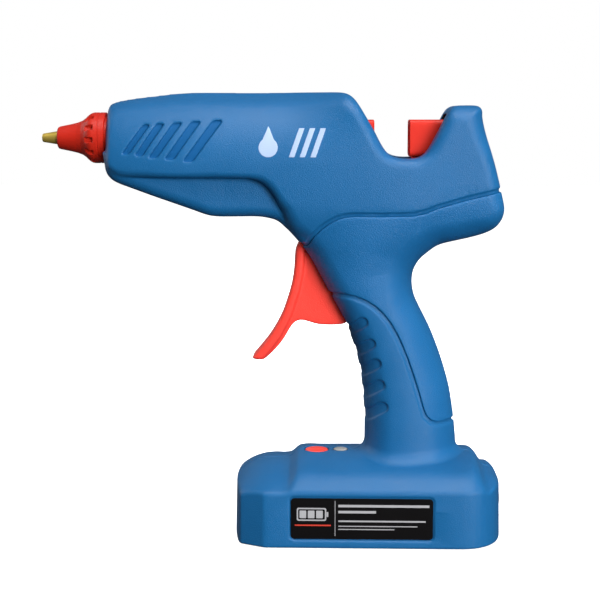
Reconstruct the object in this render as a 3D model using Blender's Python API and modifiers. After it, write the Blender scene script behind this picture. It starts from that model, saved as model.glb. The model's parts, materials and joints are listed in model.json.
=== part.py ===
"""Cordless hot-melt glue gun as an assembly of separate pieces.

Metres, +Z up.  X runs along the gun with the nozzle at -X, Y runs across it, and the
origin is the centre of the foot's flat underside.  Sizes below are in millimetres.
"""
import math

import bmesh
import bpy
import numpy as np
from mathutils import Matrix, Vector

MM = 0.001
WELD = 0.000002      # points closer than this are one point
FLAT = math.radians(0.5)
GAP = 0.3            # clearance between pieces that touch
SEAM = 0.15          # each housing half stops this far from the mid-plane
WALL = 2.8           # moulded wall
SKIN = 1.5           # soft grip skin
GROOVE = 1.0         # half width of the groove around the soft grip

# Driving dimensions
AXIS_Z = 177.0       # height of the glue stick, nozzle and feed tubes
BARREL_TOP = 196.7
BARREL_HALF = 23.0   # half width of the barrel
KEEL_HALF = 16.5     # half width of the narrower part under the barrel
BARREL_LOW = 159.6   # lower edge of the wide barrel
NOSE_X = -117.0      # front face of the housing
BASE_HALF = 34.0
BASE_FRONT_X = -60.0
BASE_EDGE_Z = 24.9   # top of the foot's upright sides
DECK_Z = 32.7
PLATFORM_Z = 36.3
TUBE_R = 8.0
TUBE_BORE_R = 6.2
GUIDE_END_X = 2.6
CARRIAGE_X = 18.0
CARRIAGE_END_X = 46.0
SLOT_HALF = 8.8      # trigger slot
SADDLE_SLOT_HALF = 9.5

# Trigger: a lever whose forked arms push a pin in the feed carriage
PIVOT_X, PIVOT_Z = -20.0, 137.0
DRIVE_Z = 163.8
ARM_TILT = math.radians(11.5)
DRIVE_X = PIVOT_X + (DRIVE_Z - PIVOT_Z) * math.tan(ARM_TILT)
CLAMP_X, CLAMP_Z = 31.0, 163.4

BUTTON_X, LENS_X = -22.4, -11.5
CELL_R, CELL_LENGTH, CELL_PITCH, CELL_Z = 9.15, 65.0, 19.2, 13.8

SCREWS = {           # number: x, z and how far out its boss goes to meet the wall
    1: (-106.0, 159.6, 14.2),
    2: (-56.0, 150.0, 15.2),
    3: (-22.0, 190.2, 16.2),
    4: (49.0, 152.0, 16.8),
    5: (27.0, 136.0, 18.9),
    6: (19.0, 80.0, 14.2),
    7: (-48.0, 14.0, 31.7),
    8: (49.0, 23.0, 30.7),
}
BOSS_R = 3.2
SCREW_HEAD_Y = 8.0

# Side view outlines, (x, z)
SADDLE = [(-10.5, 210), (-10.5, 196.4), (-8.1, 195.4), (-5.4, 193.3), (-0.5, 185.2), (2.8, 180.0),
          (5.3, 174.4), (7.9, 170.6), (10.6, 169.3), (14.1, 168.5), (21.5, 168.4), (24.7, 170.8),
          (29.7, 179.3), (34.6, 189.5), (37.5, 191.1), (70, 191.1), (70, 210)]
REAR_CUT = [(46.2, 195), (47.9, 190.4), (49.3, 187.8), (51.7, 177.4), (55.5, 167.0), (59.0, 154.0),
            (60.4, 146.0), (90, 146), (90, 195)]
GROOVE_UPPER = [(-26.7, 131.0), (-24.0, 135.1), (-16.9, 141.2), (-6.2, 144.4), (19.2, 144.5),
                (29.9, 147.7), (41.6, 151.1), (66.0, 156.6)]
GROOVE_LOWER = [(50.0, 50.9), (30.5, 51.0), (25.6, 54.4), (22.0, 66.3), (17.0, 80.9), (12.1, 92.0),
                (5.9, 100.9), (-1.3, 106.2), (-9.8, 108.8), (-15.0, 108.4)]
SLOT = [(-34.5, 141), (-34.5, 98), (-16, 93.3), (-4, 93.3), (3, 100), (3, 141)]

COLOURS = {          # sRGB colour, roughness, metallic
    "housing_blue": ((40, 112, 176), 0.45, 0.0),
    "grip_blue": ((36, 104, 166), 0.6, 0.0),
    "trigger_red": ((235, 60, 48), 0.4, 0.0),
    "collar_red": ((205, 45, 32), 0.45, 0.0),
    "brass": ((165, 140, 70), 0.3, 1.0),
    "steel": ((190, 190, 195), 0.3, 1.0),
    "aluminium": ((170, 172, 176), 0.4, 1.0),
    "black_plastic": ((28, 28, 30), 0.5, 0.0),
    "white_ceramic": ((225, 222, 212), 0.5, 0.0),
    "silicone": ((150, 60, 45), 0.6, 0.0),
    "board_green": ((20, 95, 50), 0.4, 0.0),
    "cell_wrap": ((40, 140, 90), 0.4, 0.0),
    "label_black": ((35, 32, 33), 0.4, 0.0),
    "lens_grey": ((150, 150, 150), 0.2, 0.0),
    "wire_red": ((190, 30, 25), 0.5, 0.0),
    "wire_black": ((25, 25, 25), 0.5, 0.0),
}


# ---------------------------------------------------------------- scene and materials

def clear_scene():
    for thing in list(bpy.data.objects):
        bpy.data.objects.remove(thing, do_unlink=True)


def collection(name):
    group = bpy.data.collections.get(name)
    if group is None:
        group = bpy.data.collections.new(name)
        bpy.context.scene.collection.children.link(group)
    return group


def linear(byte):
    c = byte / 255.0
    return c / 12.92 if c <= 0.04045 else ((c + 0.055) / 1.055) ** 2.4


def material(name):
    found = bpy.data.materials.get(name)
    if found:
        return found
    colour, roughness, metallic = COLOURS[name]
    made = bpy.data.materials.new(name)
    made.use_nodes = True
    shader = made.node_tree.nodes["Principled BSDF"]
    shader.inputs["Base Color"].default_value = (*[linear(c) for c in colour], 1.0)
    shader.inputs["Roughness"].default_value = roughness
    shader.inputs["Metallic"].default_value = metallic
    return made


def place(name, mesh, look=None, location=(0, 0, 0), rotation=(0, 0, 0)):
    """Link a mesh as an object: a piece when it has a look, else a working shape."""
    thing = bpy.data.objects.new(name, mesh)
    thing.location = Vector(location) * MM
    thing.rotation_euler = rotation
    if look:
        mesh.materials.clear()
        mesh.materials.append(material(look))
        collection("glue_gun").objects.link(thing)
    else:
        thing.hide_render = True
        thing.display_type = "WIRE"
        collection("cutters").objects.link(thing)
    return thing


# ---------------------------------------------------------------- shape helpers

def evaluated_mesh(thing):
    bpy.context.view_layer.update()
    graph = bpy.context.evaluated_depsgraph_get()
    return bpy.data.meshes.new_from_object(thing.evaluated_get(graph))


def tidy(mesh):
    """Weld near points, merge faces that lie in one plane, and split the rest into triangles."""
    shape = bmesh.new()
    shape.from_mesh(mesh)
    bmesh.ops.remove_doubles(shape, verts=shape.verts[:], dist=WELD)
    bmesh.ops.dissolve_degenerate(shape, edges=shape.edges[:], dist=WELD)
    bmesh.ops.dissolve_limit(shape, angle_limit=FLAT, verts=shape.verts[:], edges=shape.edges[:])
    bmesh.ops.triangulate(shape, faces=shape.faces[:])
    shape.to_mesh(mesh)
    shape.free()
    return mesh


def apply_modifiers(thing):
    mesh = evaluated_mesh(thing)
    thing.modifiers.clear()
    thing.data = tidy(mesh)
    return thing


def combine(thing, tool, operation):
    """Boolean two objects and remove the tool."""
    step = thing.modifiers.new(operation.lower(), "BOOLEAN")
    step.operation = operation
    step.object = tool
    looks = list(thing.data.materials)
    apply_modifiers(thing)
    bpy.data.objects.remove(tool, do_unlink=True)
    thing.data.materials.clear()
    for look in looks:
        thing.data.materials.append(look)
    return thing


def cut(thing, *tools):
    for tool in tools:
        combine(thing, tool, "DIFFERENCE")
    return thing


def join(thing, *tools):
    for tool in tools:
        combine(thing, tool, "UNION")
    return thing


def copy_of(thing, name, look=None):
    return place(name, thing.data.copy(), look, Vector(thing.location) / MM, thing.rotation_euler)


def loft(name, rings, look=None):
    """Closed skin through rings that hold the same number of points."""
    shape = bmesh.new()
    rows = [[shape.verts.new(Vector(point) * MM) for point in ring] for ring in rings]
    count = len(rings[0])
    for low, high in zip(rows, rows[1:]):
        for i in range(count):
            j = (i + 1) % count
            shape.faces.new((low[i], low[j], high[j], high[i]))
    shape.faces.new(rows[0])
    shape.faces.new(rows[-1])
    bmesh.ops.recalc_face_normals(shape, faces=shape.faces[:])
    mesh = bpy.data.meshes.new(name)
    shape.to_mesh(mesh)
    shape.free()
    return place(name, tidy(mesh), look)


def box(name, low, high, look=None, bevel=0.0, pivot=None):
    low, high = Vector(low), Vector(high)
    pivot = Vector(pivot) if pivot else (low + high) / 2
    shape = bmesh.new()
    size = [(b - a) * MM for a, b in zip(low, high)]
    middle = ((low + high) / 2 - pivot) * MM
    bmesh.ops.create_cube(shape, size=1.0, matrix=Matrix.Translation(middle) @ Matrix.Diagonal((*size, 1)))
    mesh = bpy.data.meshes.new(name)
    shape.to_mesh(mesh)
    shape.free()
    thing = place(name, mesh, look, pivot)
    if bevel:
        edge = thing.modifiers.new("edges", "BEVEL")
        edge.width = bevel * MM
        edge.segments = 2
        apply_modifiers(thing)
    return thing


TURN = {"X": (0, math.pi / 2, 0), "Y": (-math.pi / 2, 0, 0), "Z": (0, 0, 0)}


def turned(name, profile, centre, look=None, axis="X", steps=20, closed=True):
    """Turn (position along axis, radius) points: outer side from + to -, then the bore back."""
    shape = bmesh.new()
    points = [shape.verts.new(Vector((radius, 0, along)) * MM) for along, radius in profile]
    for a, b in zip(points, points[1:]):
        shape.edges.new((a, b))
    if closed:
        shape.edges.new((points[-1], points[0]))
    mesh = bpy.data.meshes.new(name)
    shape.to_mesh(mesh)
    shape.free()
    thing = place(name, mesh, look, centre, TURN[axis])
    screw = thing.modifiers.new("turn", "SCREW")
    screw.steps = steps
    screw.render_steps = steps
    screw.use_merge_vertices = True
    screw.merge_threshold = 0.00001
    apply_modifiers(thing)
    thing.data.shade_smooth()
    thing.data.set_sharp_from_angle(angle=math.radians(35))
    return thing


def rod(name, start, end, radius, centre, look=None, axis="X", steps=20):
    """Plain round bar between two positions along its axis."""
    return turned(name, [(end, 0), (end, radius), (start, radius), (start, 0)], centre, look, axis,
                  steps, closed=False)


def tube(name, start, end, outer, bore, centre, look=None, axis="X", steps=20):
    return turned(name, [(end, outer), (start, outer), (start, bore), (end, bore)], centre, look, axis, steps)


def plate(name, outline, y0, y1, look=None, pivot=(0, 0, 0), bevel=0.0):
    """Flat outline in the XZ plane, thick from y0 to y1."""
    curve = bpy.data.curves.new(name + "_outline", "CURVE")
    curve.dimensions = "2D"
    curve.fill_mode = "BOTH"
    curve.extrude = abs(y1 - y0) / 2 * MM
    line = curve.splines.new("POLY")
    line.points.add(len(outline) - 1)
    line.use_cyclic_u = True
    for point, (x, z) in zip(line.points, outline):
        point.co = ((x - pivot[0]) * MM, (z - pivot[2]) * MM, 0, 1)
    guide = bpy.data.objects.new(name + "_outline", curve)
    collection("cutters").objects.link(guide)
    mesh = evaluated_mesh(guide)
    bpy.data.objects.remove(guide, do_unlink=True)
    turn = Matrix.Rotation(math.pi / 2, 4, "X")
    mesh.transform(Matrix.Translation((0, ((y0 + y1) / 2 - pivot[1]) * MM, 0)) @ turn)
    shape = bmesh.new()
    shape.from_mesh(mesh)
    bmesh.ops.remove_doubles(shape, verts=shape.verts[:], dist=0.00001)
    bmesh.ops.recalc_face_normals(shape, faces=shape.faces[:])
    shape.to_mesh(mesh)
    shape.free()
    thing = place(name, mesh, look, pivot)
    if bevel:
        edge = thing.modifiers.new("edges", "BEVEL")
        edge.width = bevel * MM
        edge.segments = 2
        edge.limit_method = "ANGLE"
        edge.angle_limit = math.radians(50)
        apply_modifiers(thing)
    return thing


def smooth_route(points, per_span):
    """Points along a Catmull-Rom curve through the given points."""
    ends = [2 * Vector(points[0]) - Vector(points[1])] + [Vector(p) for p in points]
    ends.append(2 * Vector(points[-1]) - Vector(points[-2]))
    route = []
    for a, b, c, d in zip(ends, ends[1:], ends[2:], ends[3:]):
        for i in range(per_span):
            t = i / per_span
            route.append(0.5 * (2 * b + (c - a) * t + (2 * a - 5 * b + 4 * c - d) * t * t
                                + (3 * b - a - 3 * c + d) * t ** 3))
    route.append(ends[-2])
    return route


def wire(name, route, radius, look, resolution=2):
    curve = bpy.data.curves.new(name, "CURVE")
    curve.dimensions = "3D"
    curve.bevel_depth = radius * MM
    curve.bevel_resolution = resolution
    curve.use_fill_caps = True
    line = curve.splines.new("POLY")
    line.points.add(len(route) - 1)
    for point, place_at in zip(line.points, route):
        point.co = (*(Vector(place_at) * MM), 1)
    thing = bpy.data.objects.new(name, curve)
    curve.materials.append(material(look))
    collection("glue_gun").objects.link(thing)
    return thing


def coil(start, end, radius, turns, per_turn):
    """Points of a helix between two points whose line runs along X."""
    start, end = Vector(start), Vector(end)
    count = turns * per_turn
    return [start.lerp(end, i / count) + Vector((0, radius * math.cos(math.tau * i / per_turn),
                                                 radius * math.sin(math.tau * i / per_turn)))
            for i in range(count + 1)]


def section(half, low, high, corner_top, corner_low, steps=3):
    """Rounded rectangle in (y, z), starting at the lower right corner."""
    ring = []
    for turn, radius, y_side, z_side in ((-90, corner_low, 1, low), (0, corner_top, 1, high),
                                         (90, corner_top, -1, high), (180, corner_low, -1, low)):
        y_mid = y_side * (half - radius)
        z_mid = z_side + radius if z_side == low else z_side - radius
        for i in range(steps + 1):
            angle = math.radians(turn + 90 * i / steps)
            ring.append((y_mid + radius * math.cos(angle), z_mid + radius * math.sin(angle)))
    return ring


# ---------------------------------------------------------------- housing volumes

def barrel_volume(name, inset=0.0):
    """Wide upper body from the nose to the rear; inset gives the space inside its wall."""
    stations = [   # x, half width, low, high, top corner, low corner
        (-117.0, 12.5, 165.5, 188.0, 8.0, 8.0),
        (-115.6, 15.5, 162.5, 190.5, 10.0, 8.0),
        (-112.5, 17.5, 160.8, 192.4, 11.0, 6.0),
        (-106.0, 19.2, 159.8, 194.0, 12.0, 4.0),
        (-95.0, 21.0, BARREL_LOW, 195.7, 13.0, 3.0),
        (-82.0, 22.3, BARREL_LOW, BARREL_TOP, 14.0, 3.0),
        (-48.0, BARREL_HALF, BARREL_LOW, BARREL_TOP, 14.0, 3.0),
        (-40.0, BARREL_HALF, 152.0, BARREL_TOP, 14.0, 9.0),
        (-30.0, BARREL_HALF, 147.0, BARREL_TOP, 14.0, 12.0),
        (0.0, 22.6, 146.0, BARREL_TOP, 14.0, 12.0),
        (26.0, 20.0, 146.0, 194.0, 11.0, 10.0),
        (40.0, 18.5, 146.0, 191.1, 9.0, 9.0),
        (56.0, 17.0, 146.0, 191.1, 9.0, 9.0),
        (64.0, 16.0, 146.0, 191.1, 9.0, 9.0),
    ]
    if inset:
        stations = [row for row in stations if NOSE_X + inset < row[0] < -20]
        stations.append((-16.0, BARREL_HALF, 147.0, BARREL_TOP, 14.0, 12.0))
    rings = [[(x, y, z) for y, z in section(half - inset, low + inset, high - inset,
                                            max(top - inset, 1.0), max(bottom - inset, 1.0))]
             for x, half, low, high, top, bottom in stations]
    return loft(name, rings)


def keel_volume(name, inset=0.0):
    """Narrower part under the barrel, from the nose back to the trigger."""
    stations = [   # x, half width, low
        (-116.6, 11.0, 163.0),
        (-114.0, 13.0, 158.8),
        (-110.2, 14.5, 156.4),
        (-104.0, 15.5, 154.0),
        (-96.0, KEEL_HALF, 151.1),
        (-74.7, KEEL_HALF, 143.7),
        (-66.0, KEEL_HALF, 141.8),
        (-48.7, KEEL_HALF, 142.2),
        (-40.0, KEEL_HALF, 140.0),
        (-34.0, KEEL_HALF, 135.5),
        (-29.0, KEEL_HALF, 131.0),
    ]
    if inset:
        stations = stations[2:]
    top = 173.0
    rings = [[(x, y, z) for y, z in section(half - inset, low + inset, top - inset, 2.0, 5.0 - inset)]
             for x, half, low in stations]
    return loft(name, rings)


def oval(front, back, half, power, z, count=20):
    """Squared oval at height z, between front and back."""
    middle, reach = (front + back) / 2, (back - front) / 2
    ring = []
    for i in range(count):
        angle = math.tau * (i + 0.5) / count
        c, s = math.cos(angle), math.sin(angle)
        ring.append((middle + reach * math.copysign(abs(c) ** (2 / power), c),
                     half * math.copysign(abs(s) ** (2 / power), s), z))
    return ring


def handle_volume(name, inset=0.0, low=31.0):
    """Foot of the handle up through the grip to the wide body around the trigger."""
    stations = [   # z, front, back, half width, squareness
        (31.0, -8.0, 47.0, 25.0, 2.6),
        (35.0, -5.2, 44.4, 20.6, 2.6),
        (38.2, -2.6, 41.8, 18.4, 2.6),
        (44.6, -0.8, 40.6, 17.2, 2.5),
        (58.6, -0.9, 38.6, 16.6, 2.5),
        (71.8, -2.3, 35.6, 16.4, 2.5),
        (83.5, -5.6, 31.8, 16.6, 2.5),
        (95.0, -9.9, 27.2, 17.0, 2.6),
        (104.0, -13.2, 22.8, 17.4, 2.7),
        (113.5, -18.0, 19.9, 18.2, 2.8),
        (120.5, -22.2, 21.2, 19.0, 2.9),
        (126.0, -26.0, 26.2, 19.8, 3.0),
        (130.0, -29.0, 34.0, 20.4, 3.2),
        (133.6, -31.5, 49.0, 21.0, 3.4),
        (137.6, -34.3, 57.4, 21.6, 3.6),
        (145.0, -38.0, 60.4, 22.2, 3.8),
        (152.0, -41.2, 59.3, 22.0, 3.8),
        (158.0, -46.5, 57.9, 21.0, 3.6),
        (163.0, -46.5, 56.6, 19.0, 3.6),
    ]
    rings = [oval(front + inset, back - inset, half - inset, power, z)
             for z, front, back, half, power in stations if z >= low]
    return loft(name, rings)


def base_outline(inset):
    """Half plan of the foot, from its front end to its rear end, mirrored into a ring."""
    bow = [(BASE_FRONT_X, 7.0, 0.2), (-58.9, 15.0, 0.4), (-57.2, 22.0, 0.6), (-54.6, 28.0, 0.8)]
    side = [(x + 0.6 * inset, y - pull * inset) for x, y, pull in bow]
    corner_x = 42.5 - 0.2 * inset
    side += [(-47.5 + 0.4 * inset, BASE_HALF - inset), (corner_x, BASE_HALF - inset)]
    radius_x, radius_y = 18.5 - 0.4 * inset, 25.0 - inset
    for i in range(1, 6):
        angle = math.radians(90 - 90 * i / 6)
        side.append((corner_x + radius_x * math.cos(angle), 9.0 + radius_y * math.sin(angle)))
    return side + [(x, -y) for x, y in reversed(side)]


def foot_volume(name, inset=0.0):
    """Wide foot that holds the battery: straight sides and a rounded shoulder."""
    shoulder = [(0.0, 1.5), (1.5, 0.0), (BASE_EDGE_Z, 0.0), (28.4, 4.6), (30.2, 9.5)]
    if inset:
        shoulder = [(WALL, 0.0), (23.4, 0.0), (26.0, 3.4), (27.4, 6.5)]
    rings = [[(x, y, z) for x, y in base_outline(pull + inset)] for z, pull in shoulder]
    return loft(name, rings)


def platform_volume(name, inset=0.0):
    """Crowned top of the foot: a front deck, a step up, and the platform with the button."""
    stations = [(-52.5, 29.6), (-50.5, 31.0), (-47.0, 32.3), (-44.0, DECK_Z), (-35.6, DECK_Z), (-33.6, 33.5),
                (-31.4, 35.5), (-29.2, PLATFORM_Z), (45.0, PLATFORM_Z), (48.0, 35.6), (50.6, 33.4),
                (53.6, 29.6)]
    if inset:
        stations = [(-31.0, PLATFORM_Z), (44.0, PLATFORM_Z)]
    rings = []
    for x, top in stations:
        arch = [(26.0, 22.0), (25.0, top - 4.6), (17.0, top - 2.2), (8.5, top - 0.6), (0.0, top)]
        arch = [(y * (1 - inset / 26.0), z - inset * (z > 27)) for y, z in arch]
        rings.append([(x, y, z) for y, z in arch] + [(x, -y, z) for y, z in reversed(arch[:-1])])
    return loft(name, rings)


def outer_volume(name):
    """Whole outside of the housing before it is split."""
    body = join(barrel_volume(name), keel_volume("keel"), handle_volume("handle"))
    cut(body, plate("rear_cut", REAR_CUT, -60, 60), plate("saddle_cut", SADDLE, -60, 60))
    return join(body, foot_volume("foot"), platform_volume("platform"))


def inner_volume(name):
    """Space inside the wall."""
    room = join(barrel_volume(name, WALL), keel_volume("keel_room", WALL),
                handle_volume("handle_room", WALL, 35.0))
    slot = SADDLE_SLOT_HALF
    join(room, box("bay", (-38, -16.4, 146), (42, 16.4, 166.8)),
         box("saddle_slot", (-17, -slot, 160), (47.5, slot, 187.2)))
    return join(room, foot_volume("foot_room", WALL), platform_volume("platform_room", WALL),
                box("handle_throat", (4, -11, 28), (37, 11, 42)))


# ---------------------------------------------------------------- housing details

def offset_line(line, distance):
    """Move an open line sideways, to the left of its direction."""
    points = np.array(line, float)
    along = np.gradient(points, axis=0)
    along /= np.linalg.norm(along, axis=1)[:, None]
    return [tuple(p) for p in points + distance * np.stack([-along[:, 1], along[:, 0]], axis=1)]


def grip_region(name, grow):
    """Prism over the soft grip, grown or shrunk at its two grooves."""
    upper = offset_line(GROOVE_UPPER, grow)
    lower = offset_line(GROOVE_LOWER, grow)
    outline = [(-40.0, upper[0][1] - 2.0)] + upper + lower + [(-40.0, lower[-1][1])]
    return plate(name, outline, -60, 60)


def obround(start, end, width, steps=4):
    """Outline of a slot with round ends, in the XZ plane."""
    start, end = Vector((start[0], start[1])), Vector((end[0], end[1]))
    heading = math.atan2(end[1] - start[1], end[0] - start[0])
    outline = []
    for centre, turn in ((end, -90), (start, 90)):
        for i in range(steps + 1):
            angle = heading + math.radians(turn + 180 * i / steps)
            outline.append((centre[0] + width / 2 * math.cos(angle), centre[1] + width / 2 * math.sin(angle)))
    return outline


def vent_pockets():
    """Five slanted blind pockets on each side of the barrel, wider towards the rear."""
    tools = []
    for i in range(5):
        top = (-94.8 + 5.8 * i + 0.5 * i * i, 181.4 + 0.3 * i)
        foot = (-103.9 + 5.6 * i + 0.3 * i * i, 171.4 - 0.7 * i)
        width = 2.1 + 0.25 * i
        depth_y = 19.0 + 2.8 * min(i, 3) / 3
        for side in (-1, 1):
            tools.append(plate("vent", obround(top, foot, width), side * depth_y, side * 30))
    return tools


def finger_pockets():
    """Five slanted shallow recesses that wrap round the front of the handle."""
    tools = []
    for i in range(5):
        z = 95.6 - 9.6 * i
        x = 1.6 + 2.3 * i - 0.12 * i * i
        tool = plate("finger", obround((x, z), (x - 14.0, z - 9.5), 4.6), -40, 40)
        tools.append(cut(tool, handle_volume("handle_core", 0.8)))
    return tools


def openings():
    """Holes through the wall, shared by both halves."""
    return [
        rod("nozzle_hole", -125, -108, 7.0, (0, 0, AXIS_Z), steps=24),
        rod("stick_hole", 44, 70, 6.7, (0, 0, AXIS_Z), steps=24),
        rod("button_hole", 30, 40, 5.6, (BUTTON_X, 0, 0), axis="Z", steps=24),
        rod("lens_hole", 30, 40, 3.6, (LENS_X, 0, 0), axis="Z", steps=20),
        rod("jack_hole", 54, 70, 4.2, (0, 0, 14), steps=20),
        plate("trigger_slot", SLOT, -SLOT_HALF, SLOT_HALF),
    ]


def boss(side, number):
    """Screw boss on one half, from the wall to the mid-plane."""
    x, z, reach = SCREWS[number]
    ends = sorted((side * 0.5 * SEAM, side * reach))
    return rod("boss", *ends, BOSS_R, (x, 0, z), axis="Y", steps=12)


def trigger_boss(side):
    ends = sorted((side * 10.2, side * 17.6))
    return rod("pin_boss", *ends, 5.0, (PIVOT_X, 0, PIVOT_Z), axis="Y", steps=14)


def screw_bore(side, number):
    """Blind pilot hole on the left half; through hole and counterbore on the right half."""
    x, z, _ = SCREWS[number]
    if side < 0:
        return [rod("pilot", -12.0, 2.0, 1.8, (x, 0, z), axis="Y", steps=10)]
    return [rod("through", -2.0, 12.0, 1.8, (x, 0, z), axis="Y", steps=10),
            rod("head_well", SCREW_HEAD_Y, 45.0, 3.1, (x, 0, z), axis="Y", steps=12)]


def spring_rib():
    """Rib that the return spring pushes against."""
    return box("spring_rib", (-46.6, -9.0, 140), (-44.6, 9.0, 166.8))


def half_space(side):
    """Everything on one side of the mid-plane, less half the seam."""
    corners = sorted_corner(-150, SEAM * side, -5, 90, 60 * side, 220)
    return box("half_space", *corners)


def seam_tab(grow):
    """Locating tab under the foot: the left half's floor reaches past the mid-plane here."""
    return box("tab", (-12 - grow, -1 - grow, -1), (12 + grow, 7 + grow, WALL + 1))


def keep_volume(side):
    if side < 0:
        return join(half_space(side), seam_tab(0.0))
    return cut(half_space(side), seam_tab(GAP))


def housing_half(name, side, outer, inner, recess):
    half = copy_of(outer, name, "housing_blue")
    cut(half, copy_of(inner, "room"))
    join(half, spring_rib())
    for number in SCREWS:
        join(half, boss(side, number))
    join(half, trigger_boss(side))
    cut(half, copy_of(recess, "recess"))
    combine(half, keep_volume(side), "INTERSECT")
    for number in SCREWS:
        cut(half, *screw_bore(side, number))
    ends = sorted((side * 9, side * 16.4))
    cut(half, rod("pin_bore", *ends, 2.8, (PIVOT_X, 0, PIVOT_Z), axis="Y", steps=14))
    return half


def sorted_corner(x0, y0, z0, x1, y1, z1):
    return ((min(x0, x1), min(y0, y1), min(z0, z1)), (max(x0, x1), max(y0, y1), max(z0, z1)))


def housing():
    """Two halves and the two grip skins that sit in their recess."""
    outer = outer_volume("outer")
    inner = inner_volume("inner")
    cut(outer, *openings(), *vent_pockets(), *finger_pockets())
    recess = cut(grip_region("recess", GROOVE), handle_volume("recess_core", SKIN + GAP))
    skin = combine(grip_region("skin", -GROOVE), copy_of(outer, "grip_outside"), "INTERSECT")
    cut(skin, handle_volume("skin_core", SKIN), plate("skin_slot", SLOT, -SLOT_HALF, SLOT_HALF))
    for x, z, _ in SCREWS.values():
        cut(skin, rod("skin_well", 0, 45, 3.4, (x, 0, z), axis="Y", steps=12))
    cut(outer, box("label_recess", (-33.6, -40, 3.6), (29.3, -(BASE_HALF - 0.8), 23.0)))
    for name, side in (("left", -1), ("right", 1)):
        housing_half("housing_" + name, side, outer, inner, recess)
        grip = copy_of(skin, "soft_grip_" + name, "grip_blue")
        combine(grip, half_space(side), "INTERSECT")
    for thing in (outer, inner, recess, skin):
        bpy.data.objects.remove(thing, do_unlink=True)


# ---------------------------------------------------------------- nozzle and heater

def nozzle():
    centre = (0, 0, AXIS_Z)
    turned("nozzle", [(-117.8, 3.6), (-125.8, 3.6), (-125.9, 4.8), (-130.2, 4.8), (-130.8, 3.2),
                      (-138.0, 2.9), (-144.3, 1.9), (-144.6, 1.7), (-144.6, 0.9), (-141.5, 0.9),
                      (-139.6, 2.4), (-117.8, 2.4)], centre, "brass")
    ball = bmesh.new()
    bmesh.ops.create_uvsphere(ball, u_segments=12, v_segments=8, radius=1.8 * MM)
    mesh = bpy.data.meshes.new("check_ball")
    ball.to_mesh(mesh)
    ball.free()
    place("check_ball", mesh, "steel", (-137.4, 0, AXIS_Z))
    wire("check_spring", coil((-134.9, 0, AXIS_Z), (-126.0, 0, AXIS_Z), 1.6, 5, 8), 0.25, "steel", 0)


def nozzle_collar():
    """Fluted cover that screws on behind the nozzle."""
    profile = [(-117.3, 10.8), (-117.7, 11.2), (-121.9, 11.2), (-122.8, 10.75), (-124.8, 8.4),
               (-127.7, 7.0), (-131.7, 6.0), (-137.0, 4.7), (-137.5, 4.2), (-137.5, 3.5),
               (-131.1, 3.5), (-131.1, 5.1), (-125.4, 5.1), (-125.4, 6.5), (-117.3, 6.5)]
    collar = turned("nozzle_collar", profile, (0, 0, AXIS_Z), "collar_red", steps=24)
    for i in range(12):
        tool = box("flute", (-128, -1.4, 9.6), (-120.7, 1.4, 14), pivot=(0, 0, 0))
        tool.data.transform(Matrix.Rotation(math.tau * (i + 0.5) / 12, 4, "X"))
        tool.location = Vector((0, 0, AXIS_Z)) * MM
        cut(collar, tool)


def melt_chamber():
    """Die-cast chamber: round barrel with a tapered bore and a flat pad for the heater."""
    profile = [(-42.5, 6.5), (-48.5, 6.5), (-48.5, 10.0), (-112.4, 10.0), (-112.4, 6.0), (-125.4, 6.0),
               (-125.4, 4.0), (-117.0, 4.0), (-116.8, 2.2), (-95.0, 5.8), (-42.5, 5.8)]
    chamber = turned("melt_chamber", profile, (0, 0, AXIS_Z), "aluminium", steps=24)
    pad = box("pad", (-100, -7, 164.6), (-62, 7, 172))
    bore = rod("pad_bore", -120, -40, 8.2, (0, 0, AXIS_Z), steps=24)
    join(chamber, cut(pad, bore))
    box("ptc_heater", (-98, -5.6, 161.4), (-64, 5.6, 164.3), "white_ceramic")
    channel = box("heater_clip", (-96, -8.4, 159.6), (-66, 8.4, 170.0), "steel")
    cut(channel, box("clip_inside", (-110, -7.4, 161.0), (-50, 7.4, 180)))
    rod("thermal_fuse", -87, -76, 1.9, (0, 0, 189.4), "steel", steps=12)


def chamber_supports():
    tube("front_support", -109.0, -105.5, 13.2, 10.4, (0, 0, AXIS_Z), "white_ceramic")
    tube("rear_support", -56.0, -52.5, 14.0, 10.4, (0, 0, AXIS_Z), "white_ceramic")
    turned("inlet_sleeve", [(-36.2, 8.0), (-41.6, 8.0), (-42.0, 8.6), (-48.0, 8.6), (-48.0, 6.8),
                            (-42.2, 6.8), (-42.2, 5.9), (-36.2, 5.9)], (0, 0, AXIS_Z), "silicone")
    tube("sleeve_clamp", -46.5, -44.0, 9.6, 8.9, (0, 0, AXIS_Z), "steel", steps=24)


# ---------------------------------------------------------------- feed mechanism

def stick_guide():
    """Fixed red tube between the saddle and the sleeve, with a locating flange."""
    turned("stick_guide", [(GUIDE_END_X, TUBE_R - 0.4), (GUIDE_END_X - 0.4, TUBE_R), (-22.0, TUBE_R),
                           (-22.0, 9.2), (-24.0, 9.2), (-24.0, TUBE_R), (-35.8, TUBE_R),
                           (-35.8, TUBE_BORE_R), (GUIDE_END_X - 0.8, TUBE_BORE_R),
                           (GUIDE_END_X, TUBE_BORE_R + 0.8)], (0, 0, AXIS_Z), "trigger_red")


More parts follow.
